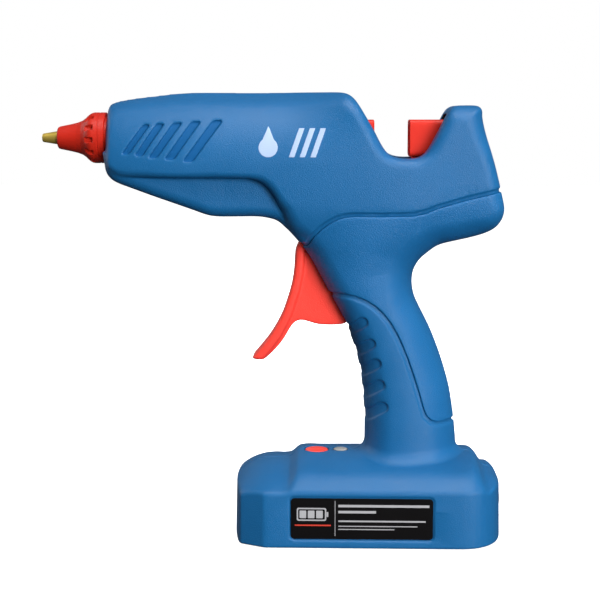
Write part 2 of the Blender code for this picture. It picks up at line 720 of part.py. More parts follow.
def feed_carriage():
    """Rear red tube on a sled that the trigger drives; the sled holds the clamp."""
    carriage = turned("feed_carriage", [
        (CARRIAGE_END_X, TUBE_R - 0.4), (CARRIAGE_END_X - 0.4, TUBE_R), (CARRIAGE_X + 0.4, TUBE_R),
        (CARRIAGE_X, TUBE_R - 0.4), (CARRIAGE_X, TUBE_BORE_R + 0.8), (CARRIAGE_X + 0.8, TUBE_BORE_R),
        (CARRIAGE_END_X, TUBE_BORE_R)], (0, 0, AXIS_Z), "trigger_red")
    sled = box("sled", (-27, -4.6, 160.6), (41, 4.6, 167.2))
    riser = box("riser", (19.5, -4.6, 165), (41, 4.6, 173))
    cut(riser, rod("riser_bore", 10, 50, 7.0, (0, 0, AXIS_Z)))
    join(carriage, riser, sled)
    cut(carriage, box("clamp_pocket", (25.4, -3.0, 155), (36.6, 3.0, 176)),
        rod("drive_bore", -9, 9, 2.2, (DRIVE_X, 0, DRIVE_Z), axis="Y", steps=14),
        rod("clamp_bore", -9, 9, 1.5, (CLAMP_X, 0, CLAMP_Z), axis="Y", steps=12))
    rod("drive_pin", -9.7, 9.7, 1.9, (DRIVE_X, 0, DRIVE_Z), "steel", axis="Y", steps=16)
    rod("clamp_pin", -4.4, 4.4, 1.2, (CLAMP_X, 0, CLAMP_Z), "steel", axis="Y", steps=12)


def feed_clamp():
    """Toothed lever that bites the stick when the carriage moves forward."""
    teeth = []
    for i in range(5):
        teeth += [(34.6 - 1.5 * i, 169.4), (34.2 - 1.5 * i, 170.5)]
    outline = teeth + [(26.8, 169.4), (26.8, 166.0), (28.4, 161.2), (33.6, 161.2), (35.4, 166.0)]
    lever = plate("feed_clamp", outline, -2.6, 2.6, "steel", pivot=(CLAMP_X, 0, CLAMP_Z))
    cut(lever, rod("lever_bore", -5, 5, 1.5, (CLAMP_X, 0, CLAMP_Z), axis="Y", steps=12))


def trigger_outline():
    """Finger blade in side view, from the top of its front edge round its tip."""
    return [(-30.2, 132.0), (-31.7, 129.0), (-32.1, 122.0), (-32.6, 116.6), (-33.9, 110.4), (-36.9, 101.0),
            (-41.6, 91.2), (-46.5, 84.6), (-51.0, 79.6), (-50.8, 78.4), (-49.6, 77.7), (-46.5, 77.7),
            (-44.8, 78.4), (-40.6, 82.8), (-37.2, 87.2), (-34.8, 91.6), (-32.6, 98.0), (-30.0, 106.0),
            (-28.3, 112.0), (-27.4, 118.0), (-27.0, 123.6), (-27.4, 127.0), (-26.6, 133.0)]


def web_outline():
    """Web behind the blade that runs up to the pivot and back into the slot."""
    return [(-30.0, 133.0), (-31.2, 128.0), (-31.6, 120.0), (-33.0, 110.0), (-36.4, 99.6), (-38.6, 95.4),
            (-36.4, 90.2), (-34.0, 93.2), (-31.8, 95.2), (-29.8, 96.0), (-27.3, 95.6), (-20.0, 93.8),
            (-12.7, 93.8), (-8.8, 94.6), (-7.6, 99.0), (-8.2, 112.0), (-11.0, 126.0), (-15.4, 134.0),
            (-20.0, 141.0)]


def fork_arm(side):
    """One forked arm above the pivot; its slot takes the drive pin."""
    foot, root, tip, wide = -3.0, 20.0, 31.2, 4.8
    slot = 2.3
    local = [(-wide, foot), (wide, foot), (wide, tip), (slot, tip), (slot, root), (-slot, root), (-slot, tip),
             (-wide, tip)]
    lean_x, lean_z = math.sin(ARM_TILT), math.cos(ARM_TILT)
    outline = [(PIVOT_X + across * lean_z + up * lean_x, PIVOT_Z - across * lean_x + up * lean_z)
               for across, up in local]
    ends = sorted((side * 6.4, side * 8.2))
    return plate("fork_arm", outline, *ends)


def trigger():
    pivot = (PIVOT_X, 0, PIVOT_Z)
    blade = plate("trigger", trigger_outline(), -8.0, 8.0, "trigger_red", pivot=pivot, bevel=1.2)
    join(blade, plate("web", web_outline(), -6.0, 6.0))
    join(blade, rod("hub", -8.5, 8.5, 5.0, pivot, axis="Y", steps=18))
    join(blade, fork_arm(-1), fork_arm(1))
    cut(blade, rod("pivot_bore", -20, 20, 2.8, pivot, axis="Y", steps=16))
    cut(blade, box("fork_gap", (-30, -6.4, 143), (0, 6.4, 175)))
    rod("trigger_pin", -15.8, 15.8, 2.5, pivot, "steel", axis="Y", steps=16)
    wire("return_spring", coil((-44.0, 0, DRIVE_Z), (-27.8, 0, DRIVE_Z), 2.6, 6, 8), 0.35, "steel", 1)


# ---------------------------------------------------------------- electrics in the foot

def battery():
    for i in range(3):
        centre = (0, CELL_PITCH * (i - 1), CELL_Z)
        half = CELL_LENGTH / 2
        turned("battery_cell_%d" % (i + 1), [
            (half, 0), (half, 3.0), (half - 1.0, 3.0), (half - 1.0, CELL_R - 0.6), (half - 1.6, CELL_R),
            (-half + 0.5, CELL_R), (-half, CELL_R - 0.5), (-half, 0)],
            centre, "cell_wrap", steps=16, closed=False)
    tray = box("cell_holder", (-35.6, -29.2, 3.1), (35.6, 29.2, 19.0), "black_plastic")
    cut(tray, box("tray_room", (-33.5, -40, 4.4), (33.5, 40, 30)))
    box("cell_strip_front", (-33.2, -24.0, 10.0), (-32.8, 5.0, 17.6), "steel")
    box("cell_strip_rear", (32.8, -5.0, 10.0), (33.2, 24.0, 17.6), "steel")


def switch_and_lamp():
    turned("power_button", [(36.5, 0), (36.4, 2.6), (36.0, 4.9), (35.5, 5.25), (32.8, 5.25), (32.8, 6.3),
                            (32.0, 6.3), (32.0, 2.2), (31.5, 2.2), (31.5, 0)],
           (BUTTON_X, 0, 0), "trigger_red", axis="Z", closed=False)
    turned("tact_switch", [(30.4, 0), (30.4, 1.7), (29.8, 1.7), (29.8, 3.4), (27.2, 3.4), (27.2, 0)],
           (BUTTON_X, 0, 0), "black_plastic", axis="Z", steps=10, closed=False)
    turned("indicator_lens", [
        (36.7, 0), (36.5, 2.4), (36.1, 3.2), (33.1, 3.2), (33.1, 4.2), (32.1, 4.2), (32.1, 0)],
           (LENS_X, 0, 0), "lens_grey", axis="Z", steps=16, closed=False)
    turned("indicator_led", [(31.6, 0), (31.2, 1.0), (30.4, 1.5), (27.2, 1.5), (27.2, 0)],
           (LENS_X, 0, 0), "white_ceramic", axis="Z", steps=12, closed=False)
    box("control_board", (-32.0, -11.0, 25.2), (4.0, 11.0, 26.8), "board_green")


def charging_jack():
    body = box("charging_jack", (46.5, -4.4, 9.2), (57.2, 4.4, 18.8), "black_plastic")
    join(body, rod("jack_mouth", 56.0, 60.6, 3.9, (0, 0, 14), steps=20))
    cut(body, rod("jack_bore", 49.0, 70.0, 3.15, (0, 0, 14), steps=16))


def leads():
    """Heater leads up the handle and battery leads over the cells."""
    for look, side in (("red", -1), ("black", 1)):
        route = [(-2, 5 * side, 28.4), (6, 5 * side, 32), (14, 6 * side, 44), (24, 6 * side, 64),
                 (25.4, 6 * side, 80), (20.5, 6 * side, 95), (14.5, 7 * side, 108), (10, 10 * side, 124),
                 (4, 13 * side, 144), (-14, 13 * side, 150), (-34, 12 * side, 154), (-50, 11 * side, 157.6),
                 (-60, 10.6 * side, 160), (-66, 10.4 * side, 163)]
        wire("heater_lead_" + look, smooth_route(route, 2), 0.9, "wire_" + look)
    route = [(-36.8, 19, 20), (-36.0, 17.2, 22.6), (-33.0, 14.6, 24.2), (-29.2, 12.4, 27.7),
             (-26.5, 8.5, 28.5)]
    wire("battery_lead_red", smooth_route(route, 3), 0.8, "wire_red")
    route = [(36.8, -19, 21), (34, -17, 25), (20, -13, 26.6), (8, -10, 28.4), (0, -8.5, 28.6)]
    wire("battery_lead_black", smooth_route(route, 3), 0.8, "wire_black")


def rating_label():
    box("rating_label", (-32.9, -(BASE_HALF - 0.1), 4.3), (28.6, -(BASE_HALF - 0.5), 22.3), "label_black")


def screws():
    for number, (x, z, _) in SCREWS.items():
        head = SCREW_HEAD_Y + GAP
        turned("housing_screw_%d" % number, [
            (head + 2.2, 0), (head + 2.0, 2.0), (head, 2.7), (head, 1.45), (-10.4, 1.45), (-11.4, 0)],
            (x, 0, z), "steel", axis="Y", steps=10, closed=False)


def build():
    clear_scene()
    housing()
    nozzle()
    nozzle_collar()
    melt_chamber()
    chamber_supports()
    stick_guide()
    feed_carriage()
    feed_clamp()
    trigger()
    battery()
    switch_and_lamp()
    charging_jack()
    leads()
    rating_label()
    screws()


build()
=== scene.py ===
"""Looks of the cordless glue gun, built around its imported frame.

The frame is in metres.  Shapes below are worked out in millimetres in the same axes: X along the
gun with the nozzle at -X, Y across it, Z up from the underside of the foot.  The moulded pieces are
described by a field that is negative inside them, and a surface is drawn where it is zero.
"""

import json
import math

import bmesh
import bpy
import numpy as np
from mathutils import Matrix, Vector


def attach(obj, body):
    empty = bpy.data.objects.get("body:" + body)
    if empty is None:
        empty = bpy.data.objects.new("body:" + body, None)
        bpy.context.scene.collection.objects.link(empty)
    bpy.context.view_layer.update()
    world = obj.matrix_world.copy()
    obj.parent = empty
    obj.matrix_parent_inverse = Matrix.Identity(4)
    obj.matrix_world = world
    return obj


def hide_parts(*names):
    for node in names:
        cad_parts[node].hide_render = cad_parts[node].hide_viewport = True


MM = 0.001
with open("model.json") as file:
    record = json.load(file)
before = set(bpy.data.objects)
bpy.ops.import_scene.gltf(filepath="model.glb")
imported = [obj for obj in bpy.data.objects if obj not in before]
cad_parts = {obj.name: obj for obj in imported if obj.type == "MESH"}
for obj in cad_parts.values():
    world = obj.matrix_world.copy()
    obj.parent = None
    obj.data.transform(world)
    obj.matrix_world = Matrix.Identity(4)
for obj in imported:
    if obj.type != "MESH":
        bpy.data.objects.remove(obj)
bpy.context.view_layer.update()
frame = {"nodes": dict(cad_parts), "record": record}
NODES = frame["nodes"]

# Driving dimensions, as in the frame
AXIS_Z = 177.0
SLOT_HALF = 8.8
SADDLE_SLOT_HALF = 9.5
WALL = 2.8
SEAM = 0.15
SKIN = 1.5
BASE_HALF = 34.0
BASE_EDGE_Z = 24.9
TUBE_BORE_R = 6.2
PIVOT = (-20.0, 137.0)
BUTTON_X, LENS_X = -22.4, -11.5
SCREWS = {1: (-106.0, 159.6), 2: (-56.0, 150.0), 3: (-22.0, 190.2), 4: (49.0, 152.0),
          5: (27.0, 136.0), 6: (19.0, 80.0), 7: (-48.0, 14.0), 8: (49.0, 23.0)}
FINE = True


# ---------------------------------------------------------------- camera, light, floor

CAMERA_AZIMUTH, CAMERA_ELEVATION = math.radians(1.7), math.radians(7.8)
CAMERA_DISTANCE = 0.606
CAMERA_TARGET = (-0.030, 0.0, 0.10455)
FOCAL_MM, SENSOR_MM = 80.785, 36.0

LIGHTS_TARGET = (-0.03, 0, 0.1)
LIGHTS = [           # name, place, size, watts and whether reflections show it
    ("front", (0.24, -0.70, 1.94), (1.4, 0.9), 31.0, True),
    ("right", (1.02, -1.38, 0.55), (0.7, 1.0), 17.0, True),
    ("rear", (-0.35, 0.95, 0.45), (0.9, 0.7), 7.0, False),
    ("rear_left", (-0.95, 0.35, 0.40), (0.5, 0.7), 2.0, True),
    ("fill", (0.85, -1.80, 0.42), (1.2, 1.2), 32.0, False),
]
GLOW_BELOW, GLOW_ABOVE = 0.02, 0.24
FLOOR_HALF, FLOOR_Z, FLOOR_GLOW = 3.0, -0.0004, 0.92


def aim(thing, target):
    thing.rotation_euler = (Vector(target) - thing.location).to_track_quat("-Z", "Y").to_euler()


def camera():
    azimuth, elevation = CAMERA_AZIMUTH, CAMERA_ELEVATION
    target = Vector(CAMERA_TARGET)
    data = bpy.data.cameras.new("camera")
    data.lens = FOCAL_MM
    data.sensor_width = SENSOR_MM
    thing = bpy.data.objects.new("camera", data)
    direction = Vector((math.sin(azimuth) * math.cos(elevation),
                        -math.cos(azimuth) * math.cos(elevation),
                        math.sin(elevation)))
    thing.location = target + CAMERA_DISTANCE * direction
    bpy.context.scene.collection.objects.link(thing)
    aim(thing, target)
    bpy.context.scene.camera = thing


def softbox(name, location, size, watts, in_reflections):
    data = bpy.data.lights.new(name, "AREA")
    data.shape = "RECTANGLE"
    data.size, data.size_y = size
    data.energy = watts
    thing = bpy.data.objects.new(name, data)
    thing.location = location
    thing.visible_glossy = in_reflections
    bpy.context.scene.collection.objects.link(thing)
    aim(thing, LIGHTS_TARGET)


def hemisphere(tree, low, high):
    """Soft surroundings whose strength grows from low, straight down, to high, straight up."""
    background = tree.nodes.new("ShaderNodeBackground")
    direction = tree.nodes.new("ShaderNodeTexCoord")
    split = tree.nodes.new("ShaderNodeSeparateXYZ")
    height = tree.nodes.new("ShaderNodeMapRange")
    height.inputs["From Min"].default_value = -1.0
    height.inputs["To Min"].default_value = low
    height.inputs["To Max"].default_value = high
    tree.links.new(direction.outputs["Generated"], split.inputs["Vector"])
    tree.links.new(split.outputs["Z"], height.inputs["Value"])
    tree.links.new(height.outputs["Result"], background.inputs["Strength"])
    return background


def surroundings():
    """White where the camera looks past the gun, and a soft glow for everything else."""
    world = bpy.data.worlds.new("studio")
    bpy.context.scene.world = world
    world.use_nodes = True
    tree = world.node_tree
    glow = hemisphere(tree, GLOW_BELOW, GLOW_ABOVE)
    seen = tree.nodes["Background"]
    seen.inputs["Color"].default_value = (1.0, 1.0, 1.0, 1.0)
    choose = tree.nodes.new("ShaderNodeMixShader")
    path = tree.nodes.new("ShaderNodeLightPath")
    tree.links.new(path.outputs["Is Camera Ray"], choose.inputs["Fac"])
    tree.links.new(glow.outputs["Background"], choose.inputs[1])
    tree.links.new(seen.outputs["Background"], choose.inputs[2])
    tree.links.new(choose.outputs["Shader"], tree.nodes["World Output"].inputs["Surface"])


def add_floor():
    shape = bmesh.new()
    bmesh.ops.create_grid(shape, x_segments=1, y_segments=1, size=FLOOR_HALF)
    mesh = bpy.data.meshes.new("floor")
    shape.to_mesh(mesh)
    shape.free()
    floor = bpy.data.objects.new("floor", mesh)
    floor.location = (0, 0, FLOOR_Z)
    bpy.context.scene.collection.objects.link(floor)
    floor.data.materials.append(floor_material())
    floor.visible_diffuse = False
    floor.visible_glossy = False


def studio():
    for light in LIGHTS:
        softbox(*light)
    bpy.context.scene.view_settings.view_transform = "Standard"
    surroundings()
    add_floor()


# ---------------------------------------------------------------- materials

def linear(colour):
    return tuple(c / 255 / 12.92 if c <= 10 else ((c / 255 + 0.055) / 1.055) ** 2.4 for c in colour)


class Look:
    """A Principled material and short calls for the nodes that feed it."""

    def __init__(self, name, colour, roughness, metallic=0.0, **inputs):
        self.material = bpy.data.materials.new(name)
        self.material.use_nodes = True
        self.tree = self.material.node_tree
        self.shader = self.tree.nodes["Principled BSDF"]
        self.colour = (*linear(colour), 1.0)
        self.shader.inputs["Base Color"].default_value = self.colour
        self.shader.inputs["Roughness"].default_value = roughness
        self.shader.inputs["Metallic"].default_value = metallic
        for key, value in inputs.items():
            self.shader.inputs[key.replace("_", " ")].default_value = value
        self.roughness = roughness
        self.coords = self.tree.nodes.new("ShaderNodeTexCoord").outputs["Object"]

    def link(self, output, socket):
        self.tree.links.new(output, socket)

    def noise(self, scale, detail=2.0, stretch=(1, 1, 1)):
        mapping = self.tree.nodes.new("ShaderNodeMapping")
        mapping.inputs["Scale"].default_value = stretch
        node = self.tree.nodes.new("ShaderNodeTexNoise")
        node.inputs["Scale"].default_value = scale
        node.inputs["Detail"].default_value = detail
        self.link(self.coords, mapping.inputs["Vector"])
        self.link(mapping.outputs["Vector"], node.inputs["Vector"])
        return node.outputs["Fac"]

    def remap(self, value, low, high, start=0.3, end=0.7):
        node = self.tree.nodes.new("ShaderNodeMapRange")
        node.inputs["From Min"].default_value = start
        node.inputs["From Max"].default_value = end
        node.inputs["To Min"].default_value = low
        node.inputs["To Max"].default_value = high
        self.link(value, node.inputs["Value"])
        return node.outputs["Result"]

    def mix(self, factor, first, second):
        node = self.tree.nodes.new("ShaderNodeMix")
        node.data_type = "RGBA"
        node.inputs["A"].default_value = first
        node.inputs["B"].default_value = second
        self.link(factor, node.inputs["Factor"])
        return node.outputs["Result"]

    def bump(self, height, distance, after=None):
        node = self.tree.nodes.new("ShaderNodeBump")
        node.inputs["Distance"].default_value = distance
        node.inputs["Strength"].default_value = 1.0
        self.link(height, node.inputs["Height"])
        if after:
            self.link(after, node.inputs["Normal"])
        self.link(node.outputs["Normal"], self.shader.inputs["Normal"])
        return node.outputs["Normal"]

    def vary(self, scale, colour_change=0.06, roughness_change=0.05, detail=3.0):
        """Slow change of colour and gloss over the surface."""
        slow = self.noise(scale, detail)
        dark = tuple(c * (1 - colour_change) for c in self.colour[:3]) + (1.0,)
        light = tuple(min(1.0, c * (1 + colour_change)) for c in self.colour[:3]) + (1.0,)
        self.link(self.mix(slow, dark, light), self.shader.inputs["Base Color"])
        low, high = self.roughness - roughness_change, self.roughness + roughness_change
        self.link(self.remap(slow, low, high), self.shader.inputs["Roughness"])
        return self


FINE_GRAIN, FINE_DEPTH = 2.6, 0.4    # second grain: how much finer and how deep


def moulded(name, colour, roughness, grain=0.5, depth=0.02, scale=60.0, gloss=0.42):
    """Moulded plastic with a spark-eroded grain; grain size and depth in millimetres."""
    look = Look(name, colour, roughness, Specular_IOR_Level=gloss).vary(scale)
    coarse = look.bump(look.noise(1 / (grain * MM), 1.5), depth * MM)
    look.bump(look.noise(FINE_GRAIN / (grain * MM), 2.0), depth * FINE_DEPTH * MM, after=coarse)
    return look.material


def metal(name, colour, roughness, stretch=(1, 1, 1), depth=0.004, metallic=1.0):
    look = Look(name, colour, roughness, metallic).vary(220.0, 0.1, 0.07)
    look.bump(look.noise(1500.0, 3.0, stretch), depth * MM)
    return look.material


def floor_material():
    look = Look("floor", (250, 250, 250), 0.6).vary(3.0, 0.004, 0.03)
    look.shader.inputs["Emission Color"].default_value = (1.0, 1.0, 1.0, 1.0)
    look.shader.inputs["Emission Strength"].default_value = FLOOR_GLOW
    look.bump(look.noise(400.0), 0.00002)
    return look.material


def make_materials():
    return {
        "housing_blue": moulded("housing_blue", (22, 96, 150), 0.36, 0.36, 0.14),
        # near-black painted shade for the housing's inner faces and the saddle slot's walls, standing in for
        # the shadow inside
        "inside_painted_shade": moulded("inside_painted_shade", (7, 9, 12), 0.70, 0.8, 0.02),
        "grip_blue": moulded("grip_blue", (23, 99, 155), 0.38, 0.45, 0.20),
        "trigger_red": moulded("trigger_red", (250, 68, 56), 0.46, 0.45, 0.12),
        "collar_red": moulded("collar_red", (188, 35, 19), 0.42, 0.5, 0.05),
        "brass": metal("brass", (222, 192, 90), 0.42, (0.5, 5.0, 5.0), metallic=0.72),
        "steel": metal("steel", (196, 196, 200), 0.28, (0.5, 4.0, 4.0)),
        "aluminium": metal("aluminium", (176, 178, 182), 0.42),
        "black_plastic": moulded("black_plastic", (26, 26, 28), 0.5, 0.6, 0.015),
        "white_ceramic": moulded("white_ceramic", (226, 222, 212), 0.55, 0.3, 0.01),
        "silicone": moulded("silicone", (150, 60, 45), 0.6, 0.5, 0.01),
        "board_green": moulded("board_green", (18, 92, 48), 0.38, 1.2, 0.008),
        "cell_wrap": moulded("cell_wrap", (38, 140, 92), 0.3, 2.0, 0.006),
        "label_black": moulded("label_black", (13, 12, 13), 0.45, 0.35, 0.006, gloss=0.12),
        "lens_grey": moulded("lens_grey", (158, 158, 156), 0.22, 0.9, 0.01),
        "wire_red": moulded("wire_red", (188, 30, 25), 0.5, 0.5, 0.01),
        "wire_black": moulded("wire_black", (25, 25, 26), 0.5, 0.5, 0.01),
        # darker, duller copy of the housing blue: the darker colour is painted shade in the vent pockets
        "vent_painted_shade": moulded("vent_painted_shade", (18, 84, 138), 0.55, 0.8, 0.008, gloss=0.12),
        "feed_red": moulded("feed_red", (212, 44, 30), 0.42, 0.5, 0.04, gloss=0.3),
        "print_white": moulded("print_white", (168, 188, 220), 0.45, 0.45, 0.03),
        "print_red": moulded("print_red", (205, 62, 46), 0.4, 0.35, 0.006),
        "print_grey": moulded("print_grey", (168, 168, 172), 0.4, 0.35, 0.006),
    }


MATERIALS = make_materials()


def dress_frame():
    """Every frame node gets the detailed material of its slot."""
    for part in frame["record"]["subparts"]:
        thing = NODES[part["node"]]
        thing.data.materials.clear()
        thing.data.materials.append(MATERIALS[part["material_slot"]])


# ---------------------------------------------------------------- field helpers

def rounded_max(a, b, radius):
    """Both shapes at once, with a rounded outer edge where they meet."""
    corner = np.hypot(np.maximum(a + radius, 0), np.maximum(b + radius, 0))
    return np.minimum(-radius, np.maximum(a, b)) + corner


def rounded_min(a, b, radius):
    """Either shape, with a fillet where they meet."""
    corner = np.hypot(np.maximum(radius - a, 0), np.maximum(radius - b, 0))
    return np.maximum(radius, np.minimum(a, b)) - corner


def soften(points, rounds=2):
    """Closed outline with its corners cut, so that it runs smoothly."""
    line = np.array(points, float)
    for _ in range(rounds):
        ahead = np.roll(line, -1, axis=0)
        line = np.stack([0.75 * line + 0.25 * ahead, 0.25 * line + 0.75 * ahead], axis=1).reshape(-1, 2)
    return line


def outline_distance(u, v, line):
    """Signed distance from a closed outline, negative inside it."""
    near = np.full(np.broadcast(u, v).shape, np.inf, np.float32)
    inside = np.zeros(near.shape, bool)
    for (u0, v0), (u1, v1) in zip(line, np.roll(line, -1, axis=0)):
        du, dv = u1 - u0, v1 - v0
        along = np.clip(((u - u0) * du + (v - v0) * dv) / (du * du + dv * dv + 1e-12), 0, 1)
        near = np.minimum(near, (u - u0 - along * du) ** 2 + (v - v0 - along * dv) ** 2)
        if abs(dv) > 1e-9:
            inside ^= ((v0 > v) != (v1 > v)) & (u < du * (v - v0) / dv + u0)
    return np.where(inside, -1, 1) * np.sqrt(near)


def path_distance(u, v, line):
    """Unsigned distance from an open line."""
    near = np.full(np.broadcast(u, v).shape, np.inf, np.float32)
    for (u0, v0), (u1, v1) in zip(line[:-1], line[1:]):
        du, dv = u1 - u0, v1 - v0
        along = np.clip(((u - u0) * du + (v - v0) * dv) / (du * du + dv * dv), 0, 1)
        near = np.minimum(near, (u - u0 - along * du) ** 2 + (v - v0 - along * dv) ** 2)
    return np.sqrt(near)


def box_distance(value, low, high):
    """Distance past the ends of a range along one axis, negative between them."""
    return np.maximum(low - value, value - high)


def block(x, y, z, low, high):
    return np.maximum(np.maximum(box_distance(x, low[0], high[0]), box_distance(y, low[1], high[1])),
                      box_distance(z, low[2], high[2]))


def smooth_table(value, table):
    """Value read from (position, size) pairs, with an even slope from pair to pair."""
    at, size = np.array(table, float).T
    slope = np.gradient(size, at)
    i = np.clip(np.searchsorted(at, value) - 1, 0, len(at) - 2)
    width = at[i + 1] - at[i]
    t = np.clip((value - at[i]) / width, 0, 1)
    return ((2 * t ** 3 - 3 * t ** 2 + 1) * size[i] + (t ** 3 - 2 * t ** 2 + t) * width * slope[i]
            + (3 * t ** 2 - 2 * t ** 3) * size[i + 1] + (t ** 3 - t ** 2) * width * slope[i + 1])


def blend_anchors(x, z, anchors):
    """Value spread between (x, z, value) anchors by distance."""
    total, weight = 0.0, 0.0
    for at_x, at_z, size in anchors:
        pull = 1.0 / (((x - at_x) ** 2 + (z - at_z) ** 2) ** 1.6 + 1.0)
        total = total + size * pull
        weight = weight + pull
    return total / weight


# ---------------------------------------------------------------- surface from a field

def sample_axes(low, high, step):
    return [np.arange(a, b + step, step, dtype=np.float32) for a, b in zip(low, high)]


def open_axes(axes):
    return axes[0][:, None, None], axes[1][None, :, None], axes[2][None, None, :]


CORNERS = [(i, j, k) for i in (0, 1) for j in (0, 1) for k in (0, 1)]
EDGES = [(a, b) for a in range(8) for b in range(a + 1, 8)
         if sum(abs(p - q) for p, q in zip(CORNERS[a], CORNERS[b])) == 1]


def net(field):
    """Points and four-sided faces of the surface where the field is zero, in grid steps."""
    inside = field < 0
    nx, ny, nz = field.shape
    count = np.zeros((nx - 1, ny - 1, nz - 1), np.int8)
    for i, j, k in CORNERS:
        count += inside[i:nx - 1 + i, j:ny - 1 + j, k:nz - 1 + k]
    cells = np.argwhere((count > 0) & (count < 8))
    number = np.full(count.shape, -1, np.int32)
    number[tuple(cells.T)] = np.arange(len(cells))
    values = np.stack([field[cells[:, 0] + i, cells[:, 1] + j, cells[:, 2] + k] for i, j, k in CORNERS], 1)
    total, hits = np.zeros((len(cells), 3)), np.zeros(len(cells))
    for a, b in EDGES:
        crossed = (values[:, a] < 0) != (values[:, b] < 0)
        gap = values[:, a] - values[:, b]
        t = np.where(crossed, values[:, a] / np.where(gap == 0, 1, gap), 0)
        start, end = np.array(CORNERS[a], float), np.array(CORNERS[b], float)
        total += crossed[:, None] * (start + t[:, None] * (end - start))
        hits += crossed
    points = cells + total / hits[:, None]
    faces = []
    for axis in range(3):
        other = [d for d in range(3) if d != axis]
        low = [slice(1, n - 1) for n in field.shape]
        low[axis] = slice(0, field.shape[axis] - 1)
        high = list(low)
        high[axis] = slice(1, field.shape[axis])
        first, second = inside[tuple(low)], inside[tuple(high)]
        edges = np.argwhere(first != second)
        starts = first[tuple(edges.T)]
        edges[:, other] += 1
        ring = []
        for du, dv in ((0, 0), (1, 0), (1, 1), (0, 1)):
            at = edges.copy()
            at[:, other[0]] -= du
            at[:, other[1]] -= dv
            ring.append(number[tuple(at.T)])
        quads = np.stack(ring, 1)
        turned = starts if axis == 1 else ~starts
        quads[turned] = quads[turned][:, ::-1]
        faces.append(quads)
    return points, np.concatenate(faces)


def read_grid(grid, points):
    """Grid values between samples, at points in grid steps."""
    base = np.clip(points.astype(np.int32), 0, np.array(grid.shape[:3]) - 2)
    part = points - base
    value = 0.0
    for i, j, k in CORNERS:
        share = (np.abs(1 - i - part[:, 0]) * np.abs(1 - j - part[:, 1]) * np.abs(1 - k - part[:, 2]))
        value = value + share * grid[base[:, 0] + i, base[:, 1] + j, base[:, 2] + k]
    return value


def settle(points, field, slopes, rounds=3):
    """Move points onto the surface; returns them with the surface's direction."""
    for _ in range(rounds):
        slope = np.stack([read_grid(s, points) for s in slopes], 1)
        size = np.maximum((slope ** 2).sum(1), 0.05)
        move = (read_grid(field, points) / size)[:, None] * slope
        points = points - np.clip(move, -0.5, 0.5)
    slope = np.stack([read_grid(s, points) for s in slopes], 1)
    return points, slope / np.maximum(np.linalg.norm(slope, axis=1), 1e-9)[:, None]


def finish_piece(thing, look, body):
    """Gives a piece its material and the body it rides on."""
    thing.data.materials.append(MATERIALS[look])
    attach(thing, body)
    return thing


def new_piece(name, mesh, look, body="gun_body"):
    thing = bpy.data.objects.new(name, mesh)
    bpy.context.scene.collection.objects.link(thing)
    return finish_piece(thing, look, body)


def quad_mesh(name, points, faces):
    mesh = bpy.data.meshes.new(name)
    mesh.vertices.add(len(points))
    mesh.vertices.foreach_set("co", np.asarray(points, np.float32).ravel())
    mesh.loops.add(faces.size)
    mesh.loops.foreach_set("vertex_index", faces.astype(np.int32).ravel())
    mesh.polygons.add(len(faces))
    mesh.polygons.foreach_set("loop_start", np.arange(0, faces.size, faces.shape[1], dtype=np.int32))
    mesh.update(calc_edges=True)
    return mesh


def thin_out(thing, keep):
    """Leaves the given share of the triangles."""
    fewer = thing.modifiers.new("fewer", "DECIMATE")
    fewer.ratio = keep
    bpy.context.view_layer.update()
    graph = bpy.context.evaluated_depsgraph_get()
    mesh = bpy.data.meshes.new_from_object(thing.evaluated_get(graph))
    mesh.name = thing.name
    thing.modifiers.clear()
    thing.data = mesh
    return mesh


def surface_piece(name, field, low, step, look, body="gun_body", keep=1.0, mirror=False):
    """Piece whose skin lies where the field is zero; keep is the share of triangles left."""
    low = np.array(low, float)
    points, faces = net(field)
    slopes = np.gradient(field)
    points, _ = settle(points, field, slopes)
    mesh = quad_mesh(name, points, faces)
    thing = bpy.data.objects.new(name, mesh)
    bpy.context.scene.collection.objects.link(thing)
    if keep < 1.0 and FINE:
        mesh = thin_out(thing, keep)
    points = np.empty(len(mesh.vertices) * 3, np.float32)
    mesh.vertices.foreach_get("co", points)
    points, slope = settle(points.reshape(-1, 3).astype(float), field, slopes, 1)
    points = (points * step + low) * MM
    if mirror:
        points[:, 1] *= -1
        slope[:, 1] *= -1
        mesh.flip_normals()
    mesh.vertices.foreach_set("co", points.astype(np.float32).ravel())
    mesh.update()
    mesh.polygons.foreach_set("use_smooth", np.ones(len(mesh.polygons), bool))
    mesh.normals_split_custom_set_from_vertices(slope.astype(np.float32))
    return finish_piece(thing, look, body)


# ---------------------------------------------------------------- housing: side view outlines

